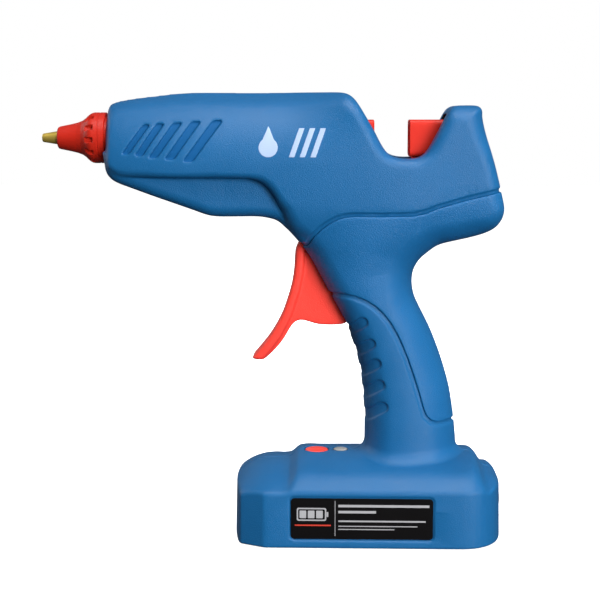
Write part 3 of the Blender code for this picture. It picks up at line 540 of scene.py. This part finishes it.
BODY_OUTLINE = [
    (-115.5, 168.3), (-115.5, 178.2), (-115.5, 187.4), (-115.2, 190.0), (-113.8, 192.0),
    (-111.0, 193.4), (-108, 194.3), (-100.5, 195.5), (-92, 196.3), (-84, 196.7), (-76, 196.85),
    (-50, 196.85), (-20, 196.85), (-12.3, 196.85), (-9.0, 196.2), (-6.2, 194.2), (-3.6, 190.5),
    (-0.4, 185.1), (2.7, 179.8), (5.2, 174.8), (7.6, 171.2), (10.4, 169.2), (14, 168.4), (18, 168.3),
    (21.6, 168.6), (24.6, 170.6), (27, 174.3), (29.6, 179.2), (32.2, 184.3), (34.2, 188.3),
    (35.9, 190.4), (38.2, 191.15), (42, 191.2), (46.0, 191.2), (48.0, 190.7), (49.3, 189),
    (49.1, 186), (50.9, 178.6), (54.5, 167.4), (57.0, 158), (58.6, 151.6), (59.6, 147.3), (59.5, 144.2),
    (58.3, 140.9), (55.9, 137.8), (51.5, 135.2), (45, 133.4), (37.1, 131.7), (31, 130.0),
    (26.8, 126.8), (23, 123.5), (20.6, 119), (19.9, 113.8), (20.8, 107.9), (23.4, 102.3), (26.2, 97),
    (29.3, 91), (32.4, 83.3), (35.2, 75.2), (37.5, 66.8), (39.1, 58.4), (40.2, 50), (40.9, 42), (41.2, 34),
    (41.2, 24), (-0.8, 24), (-0.8, 34), (-0.7, 42), (-0.6, 50), (-1.1, 58.3), (-1.8, 65.3),
    (-2.4, 71.8), (-3.6, 77.8), (-5.3, 83.9), (-7.2, 89.6), (-9.9, 95.2), (-14.2, 103.4), (-18, 110.6),
    (-21.8, 117.8), (-25, 123.6), (-28, 128.6), (-31.2, 133), (-34.2, 137.4), (-36.6, 142),
    (-38.1, 147.3), (-40.4, 152), (-43.2, 156), (-46.9, 158.9), (-51.3, 160.1), (-57.2, 160.2),
    (-78.8, 160.2), (-98.4, 160.2), (-106.3, 160.4), (-110.7, 161.5), (-113.9, 164)]
KEEL_OUTLINE = [
    (-116.6, 174), (-115.2, 165.7), (-114.9, 163.2), (-113.9, 160.8), (-111.6, 158.5), (-107.8, 156.8),
    (-103, 155.1), (-94.2, 151.9), (-83.7, 148.3), (-75.6, 145.5), (-72.2, 144.2), (-68.7, 143.2),
    (-64.3, 142.9), (-56, 143), (-48.2, 143.1), (-44.3, 142.6), (-39.5, 141.4), (-35.8, 138.0),
    (-32.5, 134.9), (-29.9, 131.9), (-27, 128.9), (-20, 136), (-14, 150), (-14, 176), (-60, 176)]
GROOVE_UPPER = [(-26.7, 131.0), (-24.0, 135.1), (-20.4, 138.7), (-16.9, 141.2), (-13.3, 143.1),
                (-9.8, 144.0), (-6.2, 144.4), (7.5, 144.3), (19.2, 144.5), (24.5, 145.6),
                (29.9, 147.7), (41.6, 151.1), (55.5, 154.3), (68.0, 157.2)]
GROOVE_LOWER = [(52.0, 50.9), (38.0, 50.9), (31.5, 50.9), (28.2, 52.0), (25.6, 54.6), (24.2, 58.5),
                (22, 66.3), (19.5, 73.7), (17.0, 80.9), (14.6, 86.7), (12.1, 92.0), (9.2, 96.8),
                (5.9, 100.9), (2.6, 103.8), (-1.3, 106.2), (-5.5, 107.8), (-9.8, 108.7), (-16.0, 108.9)]
GROOVE_HALF = 0.8
SLOT = [(-34.5, 141), (-34.5, 98), (-16, 93.3), (-4, 93.3), (3, 100), (3, 141)]

HALF_ALONG = [(-118, 15.4), (-112, 17.3), (-106, 18.8), (-95, 20.8), (-82, 22.2), (-65, 22.9),
              (-48, 23.0), (-10, 23.0), (0, 22.6), (14, 21.4), (26, 20.0), (40, 18.6), (56, 17.4),
              (63, 17.0)]
HALF_UP = [(20, 17.4), (38, 17.2), (44.6, 17.0), (58.6, 16.6), (71.8, 16.4), (83.5, 16.6), (95, 17.0),
           (104, 17.5), (113.5, 18.3), (120.5, 19.1), (126, 19.9), (133.6, 21.2), (142, 22.3),
           (150, 23.2), (160, 25.0), (175, 28.0)]
EDGE_ROUNDING = [
    (-117, 177, 4.5), (-112, 161, 3.0), (-80, 159.6, 2.5), (-55, 159.6, 2.5), (-42, 152, 4.0),
    (-36, 141, 7.0), (-28, 128, 10.0), (-14, 103, 10.0), (-4, 80, 11.0), (0, 50, 12.0),
    (40, 50, 15.0), (32, 83, 15.0), (21, 110, 14.0), (26, 126, 12.0), (45, 132, 10.0),
    (60, 145, 7.0), (56, 165, 6.0), (50, 185, 8.0), (42, 191, 9.0), (32, 184, 5.0), (15, 168, 4.5),
    (0, 185, 5.0), (-10, 196, 6.5), (-50, 196.7, 7.0), (-100, 195, 7.0)]
CROWN_FROM_Z, CROWN_R, CROWN_MOST = 164.3, 37.0, 31.0
CROWN_FADES_X = (-38.0, 6.0)
HANDLE_MIDDLE = [(17.6, 20.0), (17.0, 44.0), (15.6, 60.0), (12.2, 76.0), (7.0, 92.0), (0.0, 106.0),
                 (-5.0, 116.0), (-4.0, 128.0), (0.0, 140.0)]
HANDLE_CROWN_R, BELLY_DEPTH = 30.0, 5.5
BELLY_ENDS_Z, BELLY_FADE = 150.0, 30.0
BELLY_LEAST, BELLY_LEVEL = 0.7, 1.1
WIDTH_BLEND = 4.0
KEEL_EDGE_R, KEEL_FILLET = 5.0, 0.8
NOSE_X, NOSE_BOW_R, NOSE_EDGE_R = -115.4, 200.0, 2.4
KEEL_HALF = [(-118, 15.6), (-110, 16.2), (-100, 16.5), (-20, 16.5)]


def side_width(x, z):
    """Half width of the body before its edges are rounded."""
    along, up = smooth_table(x, HALF_ALONG), smooth_table(z, HALF_UP)
    half = (along + up - np.sqrt((along - up) ** 2 + WIDTH_BLEND)) / 2
    rise = np.clip(z - CROWN_FROM_Z, 0, CROWN_MOST)
    share = np.clip((CROWN_FADES_X[1] - x) / (CROWN_FADES_X[1] - CROWN_FADES_X[0]), 0, 1)
    crown = (CROWN_R - np.sqrt(CROWN_R ** 2 - rise ** 2)) * share * share * (3 - 2 * share)
    off = path_distance(x, z, np.array(HANDLE_MIDDLE))
    belly = BELLY_LEAST + BELLY_DEPTH * (1 - np.exp(-off ** 2 / (2 * HANDLE_CROWN_R * BELLY_DEPTH)))
    fade = np.clip((BELLY_ENDS_Z - z) / BELLY_FADE, 0, 1)
    fade = fade * fade * (3 - 2 * fade)
    return half - crown + (BELLY_LEVEL - belly) * fade


def body_field(x, y, z):
    """Barrel, keel and handle; y is the distance from the mid-plane."""
    edge = outline_distance(x, z, soften(BODY_OUTLINE))
    radius = blend_anchors(x, z, EDGE_ROUNDING)
    body = rounded_max(edge, y - side_width(x, z), radius)
    body = rounded_max(body, NOSE_X + y ** 2 / (2 * NOSE_BOW_R) - x, NOSE_EDGE_R)
    keel_edge = outline_distance(x, z, soften(KEEL_OUTLINE))
    keel = rounded_max(keel_edge, y - smooth_table(x, KEEL_HALF), KEEL_EDGE_R)
    return rounded_min(body, keel, KEEL_FILLET)


# ---------------------------------------------------------------- housing: foot

FOOT_PLAN = [(-58.8, 0.0), (-58.5, 8.0), (-57.9, 15.0), (-57.0, 22.0), (-56.4, 25.5), (-55.5, 28.3),
             (-53.8, 29.2), (-46.2, 33.2), (-44.6, 34.0), (-40, 34.0), (0, 34.0), (38, 34.0), (43.5, 33.9),
             (48.5, 32.6), (53.0, 29.2), (56.4, 24.6), (58.6, 18.8), (59.6, 12.5), (59.9, 6.0), (59.9, 0.0),
             (59.9, -20.0), (-58.8, -20.0)]
FOOT_TOP = [(-62, 24.6), (-58, 26.8), (-54, 29.0), (-50, 30.8), (-46, 31.9), (-42, 32.3), (-36, 32.35),
            (-34.2, 32.8), (-32.4, 34.3), (-30.6, 35.7), (-28.8, 36.1), (-20, 36.2), (40, 36.2), (44.8, 36.1),
            (47.6, 35.8), (50.0, 34.0), (52.0, 30.9), (53.2, 29.5), (54.4, 29.3), (56.0, 29.6), (58.0, 29.2),
            (64, 28.0)]
FOOT_CROWN = 0.0066
CHAMFER_SLOPE = 1.05
FOOT_FILLET = 5.0
FOOT_LEAN, FOOT_LEAN_Z = 0.02, 12.0
SHOULDER_R, FOOT_TOP_R, SOLE_R = 0.7, 1.7, 0.8


def foot_field(x, y, z):
    plan = outline_distance(x, y, soften(FOOT_PLAN, 1))
    side = plan + FOOT_LEAN * (z - FOOT_LEAN_Z)
    chamfer = (plan * CHAMFER_SLOPE + z - BASE_EDGE_Z) / math.hypot(CHAMFER_SLOPE, 1.0)
    upright = rounded_max(side, chamfer, SHOULDER_R)
    top = z - (smooth_table(x, FOOT_TOP) - FOOT_CROWN * y ** 2)
    return rounded_max(rounded_max(upright, top, FOOT_TOP_R), -z, SOLE_R)


# ---------------------------------------------------------------- housing: details

def capsule(x, z, start, end, width):
    return path_distance(x, z, np.array([start, end], float)) - width / 2


VENT_TOPS = [(-95.9, 182.9), (-89.8, 183.4), (-82.2, 183.8), (-74.2, 184.3), (-64.9, 184.7)]
VENT_FEET = [(-105.0, 170.1), (-99.0, 169.5), (-92.8, 168.6), (-85.6, 167.9), (-77.6, 167.0)]
VENT_DEPTH = 1.2
VENT_WIDTH, VENT_GROWTH, VENT_CORNER_R = 3.3, 0.28, 0.9
FINGER_ENDS = [(-2.0, 96.8), (1.4, 87.2), (3.9, 78.2), (5.7, 68.7), (7.1, 58.8)]
FINGER_RUN = (20.0, 14.0)
FINGER_WIDTH = 4.6
FINGER_DEPTH, FINGER_GAIN = 0.4, 0.55      # at the front, and what it gains round the side
FINGER_GAIN_Y, FINGER_GAIN_OVER = 9.0, 4.0
GROOVE_DEPTH, BED_MARGIN = 0.85, 0.9
SADDLE_SLOT_X, SADDLE_SLOT_Z = (-17, 47.5), (155, 187.2)
FEED_BAY = ((-38, -20, 146), (42, 16.4, 166.8))
NOSE_HOLE_R, NOSE_HOLE_X = 7.0, -108
STICK_HOLE_R, STICK_HOLE_X = 6.7, 44
BUTTON_HOLE_R, LENS_HOLE_R, DECK_HOLE_Z = 5.6, 3.6, 30
JACK_HOLE_R, JACK_HOLE_X, JACK_Z = 4.2, 54, 14
WELL_R, WELL_FLOOR_Y = 3.1, 8.0
FAR = 50.0


def vents(x, z):
    """Five slanted pockets with level ends, wider towards the rear."""
    nearest = np.full(np.broadcast(x, z).shape, FAR)
    for i, (top, foot) in enumerate(zip(VENT_TOPS, VENT_FEET)):
        level_width = VENT_WIDTH + VENT_GROWTH * i
        lean_x, lean_z = top[0] - foot[0], top[1] - foot[1]
        share = lean_z / math.hypot(lean_x, lean_z)
        across = np.abs(x - foot[0] - (z - foot[1]) * lean_x / lean_z) * share
        pocket = rounded_max(across - level_width / 2 * share, box_distance(z, foot[1], top[1]),
                             VENT_CORNER_R)
        nearest = np.minimum(nearest, pocket)
    return nearest


def finger_pockets(x, z):
    """Five slanted pockets that run off the front of the handle."""
    nearest = np.full(np.broadcast(x, z).shape, FAR)
    for end in FINGER_ENDS:
        start = (end[0] - FINGER_RUN[0], end[1] - FINGER_RUN[1])
        nearest = np.minimum(nearest, capsule(x, z, end, start, FINGER_WIDTH))
    return nearest


def grip_region(x, z):
    """Negative over the soft grip, between its two grooves."""
    outline = [(-60.0, 129.0)] + GROOVE_UPPER + [(80.0, 120.0)] + GROOVE_LOWER + [(-60.0, 109.0)]
    line = np.array(outline, float)
    return outline_distance(x, z, line)


def barrel_round(y, z, radius):
    return np.hypot(y, z - AXIS_Z) - radius


def housing_fields(x, y, z):
    """Fields of the plain outside, of the finished housing half, and of its soft grip."""
    body = body_field(x, y, z)
    foot = foot_field(x, y, z)
    plain = rounded_min(body, foot, FOOT_FILLET)
    skin = plain
    vent = np.maximum(vents(x, z), -(body + VENT_DEPTH))
    skin = rounded_max(skin, -vent, 0.3)
    gain = np.clip((y - FINGER_GAIN_Y) / FINGER_GAIN_OVER, 0, 1)
    fingers = np.maximum(finger_pockets(x, z), -(body + FINGER_DEPTH + FINGER_GAIN * gain))
    skin = rounded_max(skin, -fingers, 0.2)
    region = grip_region(x, z)
    groove = np.maximum(region - GROOVE_HALF, -(plain + GROOVE_DEPTH))
    bed = np.maximum(region + BED_MARGIN, -(plain + SKIN + 0.3))
    skin = rounded_max(skin, -np.minimum(groove, bed), 0.4)
    slot = np.maximum(outline_distance(x, z, np.array(SLOT, float)), y - SLOT_HALF)
    skin = rounded_max(skin, -slot, 0.9)
    saddle_slot = np.maximum(np.maximum(box_distance(x, *SADDLE_SLOT_X), y - SADDLE_SLOT_HALF),
                             box_distance(z, *SADDLE_SLOT_Z))
    skin = rounded_max(skin, -saddle_slot, 0.5)
    room = plain + WALL
    bay = block(x, y, z, *FEED_BAY)
    room = np.minimum(np.minimum(room, bay), saddle_slot)
    whole = np.maximum(skin, -room)
    round_hole = np.maximum(barrel_round(y, z, NOSE_HOLE_R), x - NOSE_HOLE_X)
    stick_hole = np.maximum(barrel_round(y, z, STICK_HOLE_R), STICK_HOLE_X - x)
    button = np.maximum(np.hypot(x - BUTTON_X, y) - BUTTON_HOLE_R, DECK_HOLE_Z - z)
    lens = np.maximum(np.hypot(x - LENS_X, y) - LENS_HOLE_R, DECK_HOLE_Z - z)
    jack = np.maximum(np.hypot(y, z - JACK_Z) - JACK_HOLE_R, JACK_HOLE_X - x)
    for hole, radius in ((round_hole, 0.6), (stick_hole, 0.8), (jack, 0.5)):
        whole = rounded_max(whole, -hole, radius)
    for hole in (button, lens):
        near_top = np.maximum(hole, z - 60)
        whole = rounded_max(whole, -near_top, 0.35)
    grip = rounded_max(plain + 0.02, region + GROOVE_HALF, 0.4)
    grip = np.maximum(np.maximum(grip, -(plain + SKIN)), -slot)
    return whole, grip


def screw_wells(field, x, y, z):
    """Cuts the wells of the screw heads, which open into the hollow inside around each head."""
    for at_x, at_z in SCREWS.values():
        well = np.maximum(np.hypot(x - at_x, z - at_z) - WELL_R, WELL_FLOOR_Y - y)
        field = rounded_max(field, -well, 0.3)
    return field


def label_recess(x, y, z):
    flat = rounded_max(box_distance(x, -33.6, 29.3), box_distance(z, 3.6, 23.0), 2.2)
    return np.maximum(flat, (BASE_HALF - 0.8) - y)


def recolour(thing, chosen, look):
    """Gives the chosen faces a second material; chosen says which, from their middles in millimetres."""
    mesh = thing.data
    middles = np.empty(len(mesh.polygons) * 3, np.float32)
    mesh.polygons.foreach_get("center", middles)
    x, y, z = middles.reshape(-1, 3).T / MM
    mesh.materials.append(MATERIALS[look])
    index = np.zeros(len(mesh.polygons), np.int32)
    mesh.polygons.foreach_get("material_index", index)
    index[chosen(x, np.abs(y), z)] = len(mesh.materials) - 1
    mesh.polygons.foreach_set("material_index", index)


# depths under the skin between which vent faces get the darker painted shade
VENT_EDGE, VENT_FROM, VENT_TO = 0.1, 0.55, WALL - 0.6
# depth under the outer skin below which faces get the near-black painted shade
INSIDE_DEPTH = WALL - 0.7
SLOT_WALLS_X, SLOT_WALLS_Z, SLOT_WALLS_HALF = (-17.2, 47.8), (160, 187.5), SADDLE_SLOT_HALF + 0.2
LIP_X, LIP_Z, LIP_HALF = -2.0, (88.0, 98.5), SLOT_HALF + 0.3


def vent_shade_faces(x, y, z):
    """Floors and walls of the barrel's slanted pockets, which get a darker painted shade."""
    depth = body_field(x, y, z)
    return (vents(x, z) < VENT_EDGE) & (depth < -VENT_FROM) & (depth > -VENT_TO)


def painted_shade_faces(x, y, z):
    """Inner faces painted near-black as shade: those well under the outer skin, and the walls of the saddle's
    slot.

    The lip at the floor of the trigger's slot keeps the colour of the outside.
    """
    slot = (y < SLOT_WALLS_HALF) & (x > SLOT_WALLS_X[0]) & (x < SLOT_WALLS_X[1])
    slot = slot & (z > SLOT_WALLS_Z[0]) & (z < SLOT_WALLS_Z[1])
    lip = (x < LIP_X) & (y < LIP_HALF) & (z > LIP_Z[0]) & (z < LIP_Z[1])
    depth = np.minimum(body_field(x, y, z), foot_field(x, y, z))
    return slot | ~lip & (depth < -INSIDE_DEPTH)


HOUSING_LOW, HOUSING_HIGH = (-118.6, -0.9, -1.3), (62.4, 35.4, 198.2)
SHELL_KEEP, GRIP_KEEP = 0.22, 0.4


def housing():
    step = 0.6 if FINE else 1.1
    low = HOUSING_LOW
    x, y, z = open_axes(sample_axes(low, HOUSING_HIGH, step))
    whole, grip = housing_fields(x, y, z)
    half = rounded_max(whole, SEAM - y, 0.3).astype(np.float32)
    left = rounded_max(half, -label_recess(x, y, z), 0.25).astype(np.float32)
    right = screw_wells(half, x, y, z).astype(np.float32)
    for name, field, mirror in (("left", left, True), ("right", right, False)):
        shell = surface_piece("shell_" + name, field, low, step, "housing_blue", keep=SHELL_KEEP,
                              mirror=mirror)
        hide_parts("housing_" + name)
        # inner faces and the saddle slot's walls get the near-black painted shade
        recolour(shell, painted_shade_faces, "inside_painted_shade")
        # vent pocket floors and walls get the darker painted shade
        recolour(shell, vent_shade_faces, "vent_painted_shade")
    grip = rounded_max(grip, SEAM - y, 0.3)
    grips = (("left", grip, True), ("right", screw_wells(grip, x, y, z), False))
    for name, field, mirror in grips:
        skin = surface_piece("grip_" + name, field.astype(np.float32), low, step, "grip_blue",
                             keep=GRIP_KEEP, mirror=mirror)
        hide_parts("soft_grip_" + name)


# ---------------------------------------------------------------- nozzle and its collar

def turned_mesh(name, rows, radius, steps):
    """Ring-shaped skin about the gun's axis; radius(row, angle) gives each point's x and distance, in mm."""
    points, faces = [], []
    for row in range(rows):
        for i in range(steps):
            angle = math.tau * i / steps
            x, r = radius(row, angle)
            points.append((x * MM, -r * math.cos(angle) * MM, (AXIS_Z + r * math.sin(angle)) * MM))
    for row in range(rows):
        for i in range(steps):
            after, ring = (i + 1) % steps, (row + 1) % rows
            faces.append((row * steps + i, row * steps + after, ring * steps + after, ring * steps + i))
    mesh = bpy.data.meshes.new(name)
    mesh.from_pydata(points, [], faces)
    mesh.shade_smooth()
    mesh.set_sharp_from_angle(angle=math.radians(38))
    return mesh


COLLAR_OUTSIDE = [
    (-137.5, 3.6), (-137.5, 4.3), (-137.2, 4.75), (-136.6, 5.0), (-134.5, 5.45), (-131.5, 6.05),
    (-128.6, 6.75), (-126.4, 7.6), (-124.9, 8.7), (-123.9, 9.7), (-122.8, 10.6), (-121.9, 11.05),
    (-121.0, 11.2), (-118.9, 11.2), (-118.7, 11.0), (-118.4, 11.0), (-118.2, 11.2), (-115.9, 11.2),
    (-115.6, 10.8)]
COLLAR_INSIDE = [
    (-115.6, 9.6), (-114.8, 9.6), (-114.8, 6.5), (-125.4, 6.5), (-125.4, 5.1), (-131.1, 5.1),
    (-131.1, 3.6)]
POCKETS, POCKET_TURN, POCKET_HALF = 12, math.radians(-4.5), 1.05
POCKET_END_X, POCKET_FLOOR_R = -120.5, 9.35
POCKET_EDGE, POCKET_RAMP, POCKET_TAPER = 0.5, 0.4, 0.04


def finer(line, most):
    """The line with points added so that none are further apart than most."""
    out = []
    for (u0, v0), (u1, v1) in zip(line[:-1], line[1:]):
        parts = max(1, math.ceil(math.hypot(u1 - u0, v1 - v0) / most))
        out += [(u0 + (u1 - u0) * i / parts, v0 + (v1 - v0) * i / parts) for i in range(parts)]
    return out + [line[-1]]


def collar():
    outside = finer(COLLAR_OUTSIDE, 0.35)
    line = outside + COLLAR_INSIDE

    def radius(row, angle):
        x, r = line[row]
        if row < len(outside):
            pitch = math.tau / POCKETS
            off = abs((angle - POCKET_TURN + pitch / 2) % pitch - pitch / 2) * r
            side = min(1.0, max(0.0, (POCKET_HALF + POCKET_EDGE / 2 - off) / POCKET_EDGE))
            end = min(1.0, max(0.0, (POCKET_END_X - x) / POCKET_RAMP))
            floor = POCKET_FLOOR_R - POCKET_TAPER * (POCKET_END_X - x)
            r -= max(0.0, r - floor) * side * end
        return x, r

    piece = new_piece("collar", turned_mesh("collar", len(line), radius, 288), "collar_red")
    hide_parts("nozzle_collar")


NOZZLE = [
    (-117.8, 3.5), (-125.8, 3.5), (-125.95, 4.8), (-130.2, 4.8), (-130.5, 3.3), (-138.0, 2.9),
    (-143.9, 1.95), (-144.25, 1.85), (-144.5, 1.65), (-144.6, 1.4), (-144.6, 0.95), (-144.4, 0.8),
    (-141.5, 0.8), (-139.6, 2.4), (-117.8, 2.4)]


def nozzle():
    line = finer(NOZZLE, 0.8)

    def radius(row, angle):
        return line[row]

    piece = new_piece("nozzle_tip", turned_mesh("nozzle_tip", len(line), radius, 72), "brass")
    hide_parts("nozzle")


# ---------------------------------------------------------------- feed tubes

TUBE_SKIN = 8.05
SQUARENESS = 9.0


def feed_tubes():
    """Smooth moulded skins over the two feed tubes: square outside with round corners, round bore."""
    tubes = (("carriage_skin", 17.9, 46.0, "feed"), ("guide_skin", -20.5, 2.7, "gun_body"))
    for name, start, end, body in tubes:
        rims = [(start, 0.75), (start + 0.12, 0.3), (start + 0.4, 0.0), (end - 0.4, 0.0), (end - 0.12, 0.3),
                (end, 0.75)]
        line = finer(rims, 1.2)
        rows = len(line) + 2

        def radius(row, angle):
            if row >= len(line):
                return (end, TUBE_BORE_R) if row == len(line) else (start, TUBE_BORE_R)
            x, inset = line[row]
            flat = abs(math.cos(angle)) ** SQUARENESS + abs(math.sin(angle)) ** SQUARENESS
            return x, (TUBE_SKIN - inset) / flat ** (1 / SQUARENESS)

        new_piece(name, turned_mesh(name, rows, radius, 144), "feed_red", body)


# ---------------------------------------------------------------- trigger

BLADE_FRONT = [(-29.6, 133.0), (-30.4, 130.8), (-31.7, 128.6), (-32.05, 122.0), (-32.6, 116.6),
               (-33.9, 110.4), (-36.9, 101.0), (-38.5, 97.2), (-42.0, 90.7), (-46.5, 84.6), (-51.1, 79.3)]
BLADE_REAR = [(-50.9, 79.1), (-49.8, 78.5), (-46.8, 78.4), (-45.1, 79.0), (-41.3, 82.6), (-37.2, 87.5),
              (-34.8, 91.9), (-33.2, 94.4), (-31.6, 95.8), (-29.6, 96.4), (-27.0, 96.0), (-23.4, 94.8),
              (-20.0, 94.2), (-12.7, 94.2), (-8.8, 95.0), (-7.6, 99.0), (-8.2, 112.0), (-11.0, 126.0),
              (-15.4, 134.0), (-20.0, 139.0), (-25.0, 137.0)]
PAD_DEEP, PAD_HALF, WEB_HALF = 4.1, 8.0, 6.2
ARM_TILT = math.radians(11.5)
ARM_HALF, ARM_FOOT, ARM_TIP = 4.8, -3.0, 31.2
ARM_Y = (6.4, 8.2)
PIN_SLOT_HALF, PIN_SLOT_ROOT = 2.3, 20.0
HUB_R, HUB_HALF, HUB_BORE_R = 5.0, 8.5, 2.8


def fork(x, y, z):
    """Two arms above the pivot with an open slot for the drive pin."""
    across = (x - PIVOT[0]) * math.cos(ARM_TILT) - (z - PIVOT[1]) * math.sin(ARM_TILT)
    up = (x - PIVOT[0]) * math.sin(ARM_TILT) + (z - PIVOT[1]) * math.cos(ARM_TILT)
    arm = np.maximum(np.abs(across) - ARM_HALF, box_distance(up, ARM_FOOT, ARM_TIP))
    arm = np.maximum(arm, -np.maximum(np.abs(across) - PIN_SLOT_HALF, PIN_SLOT_ROOT - up))
    return np.maximum(arm, box_distance(y, *ARM_Y))


def trigger_field(x, y, z):
    side = outline_distance(x, z, soften(BLADE_FRONT + BLADE_REAR, 2))
    front = path_distance(x, z, np.array(BLADE_FRONT, float))
    pad = rounded_max(np.maximum(side, front - PAD_DEEP), y - PAD_HALF, 1.5)
    web = rounded_max(side, y - WEB_HALF, 0.8)
    hub = np.maximum(np.hypot(x - PIVOT[0], z - PIVOT[1]) - HUB_R, y - HUB_HALF)
    whole = rounded_min(pad, web, 0.7)
    whole = np.minimum(np.minimum(whole, hub), fork(x, y, z))
    return np.maximum(whole, HUB_BORE_R - np.hypot(x - PIVOT[0], z - PIVOT[1]))


def mirrored_piece(name, field_of, low, high, step, look, body, keep=1.0):
    """Piece that is the same on both sides of the mid-plane, from a field given the distance from it."""
    axes = sample_axes(low, high, step)
    x, y, z = open_axes(axes)
    field = (field_of(x, np.abs(y), z) + np.zeros((1, len(axes[1]), 1))).astype(np.float32)
    return surface_piece(name, field, low, step, look, body, keep)


def trigger():
    step = 0.45 if FINE else 0.8
    low, high = (-53, -9.6, 76), (-3, 9.8, 170)
    piece = mirrored_piece("trigger_lever", trigger_field, low, high, step, "trigger_red", "trigger",
                           keep=0.35)
    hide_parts("trigger")


# ---------------------------------------------------------------- prints

MARK_LOW, MARK_HIGH = (-50.0, 17.0, 167.0), (-17.0, 24.5, 184.0)
DROP_X, DROP_Z, DROP_R = -43.0, 173.2, 4.2
DROP_TIP_Z, DROP_SLOPE, DROP_SHOULDER_Z = 182.6, 0.42, 174.6
BAR_X, BAR_PITCH, BAR_HALF, BAR_LEAN = -33.0, 4.6, 1.25, 0.35
BAR_Z = (169.0, 181.5)
INK_PROUD, INK_DEEP = 0.05, 0.5


def barrel_print():
    """Plain mark of our own: a drop beside three slanted bars, printed on the barrel."""
    step = 0.22 if FINE else 0.5
    x, y, z = open_axes(sample_axes(MARK_LOW, MARK_HIGH, step))
    drop = np.hypot(x - DROP_X, z - DROP_Z) - DROP_R
    tip = np.maximum(np.abs(x - DROP_X) - (DROP_TIP_Z - z) * DROP_SLOPE,
                     box_distance(z, DROP_SHOULDER_Z, DROP_TIP_Z))
    shape = np.minimum(drop, tip)
    for i in range(3):
        bar_x = BAR_X + BAR_PITCH * i
        lean = (z - BAR_Z[0]) * BAR_LEAN
        shape = np.minimum(shape, np.maximum(np.abs(x - bar_x - lean) - BAR_HALF, box_distance(z, *BAR_Z)))
    body = body_field(x, y, z)
    ink = np.maximum(np.maximum(shape, body - INK_PROUD), -(body + INK_DEEP))
    surface_piece("mark_left", ink.astype(np.float32), MARK_LOW, step, "print_white", keep=0.5, mirror=True)


def panel(name, x0, x1, z0, z1, y, look, thick, corner):
    """Thin printed patch with round corners, on the label's face at y."""
    shape = bmesh.new()
    ring = []
    for cx, cz, start in ((x1 - corner, z1 - corner, 0), (x0 + corner, z1 - corner, 90),
                          (x0 + corner, z0 + corner, 180), (x1 - corner, z0 + corner, 270)):
        for i in range(7):
            turn = math.radians(start + 15 * i)
            ring.append(shape.verts.new(((cx + corner * math.cos(turn)) * MM, y * MM,
                                         (cz + corner * math.sin(turn)) * MM)))
    face = shape.faces.new(ring)
    pushed = bmesh.ops.extrude_face_region(shape, geom=[face])
    moved = [part for part in pushed["geom"] if isinstance(part, bmesh.types.BMVert)]
    bmesh.ops.translate(shape, verts=moved, vec=(0, thick * MM, 0))
    bmesh.ops.recalc_face_normals(shape, faces=shape.faces)
    mesh = bpy.data.meshes.new(name)
    shape.to_mesh(mesh)
    shape.free()
    return new_piece(name, mesh, look)


LABEL = (-33.0, 28.7, 4.2, 22.4)


def label():
    """Black plate with a divider, a red rule and plain bars where print would be."""
    x0, x1, z0, z1 = LABEL
    plate = panel("label_plate", x0, x1, z0, z1, -33.85, "label_black", 0.5, 1.6)
    edge = plate.modifiers.new("edge", "BEVEL")
    edge.width = 0.12 * MM
    edge.segments = 2
    edge.limit_method = "ANGLE"
    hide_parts("rating_label")
    y = -33.91
    panel("label_divider", -13.9, -13.65, 5.6, 21.4, y, "print_grey", 0.1, 0.1)
    panel("label_rule", -31.3, -15.6, 10.1, 10.7, y, "print_red", 0.1, 0.2)
    rows = ((18.6, 19.7, 27.0), (15.9, 17.0, 4.0), (12.0, 12.7, 25.5), (9.9, 10.3, 22.0), (8.5, 8.9, 12.0))
    for i, (low, high, end) in enumerate(rows):
        panel("label_bar_%d" % i, -12.4, end, low, high, y, "print_grey", 0.1, 0.2)
    panel("label_cell_case", -30.4, -17.6, 12.4, 18.2, y, "print_grey", 0.1, 0.8)
    panel("label_cell_inside", -29.8, -18.2, 13.0, 17.6, y - 0.02, "label_black", 0.1, 0.5)
    panel("label_cell_tip", -17.5, -16.7, 14.2, 16.4, y, "print_grey", 0.1, 0.25)
    for i in range(3):
        panel("label_charge_%d" % i, -29.2 + 3.6 * i, -26.3 + 3.6 * i, 13.6, 17.0, y - 0.04, "print_grey",
              0.1, 0.3)


camera()
studio()
dress_frame()
housing()
collar()
nozzle()
feed_tubes()
trigger()
barrel_print()
label()
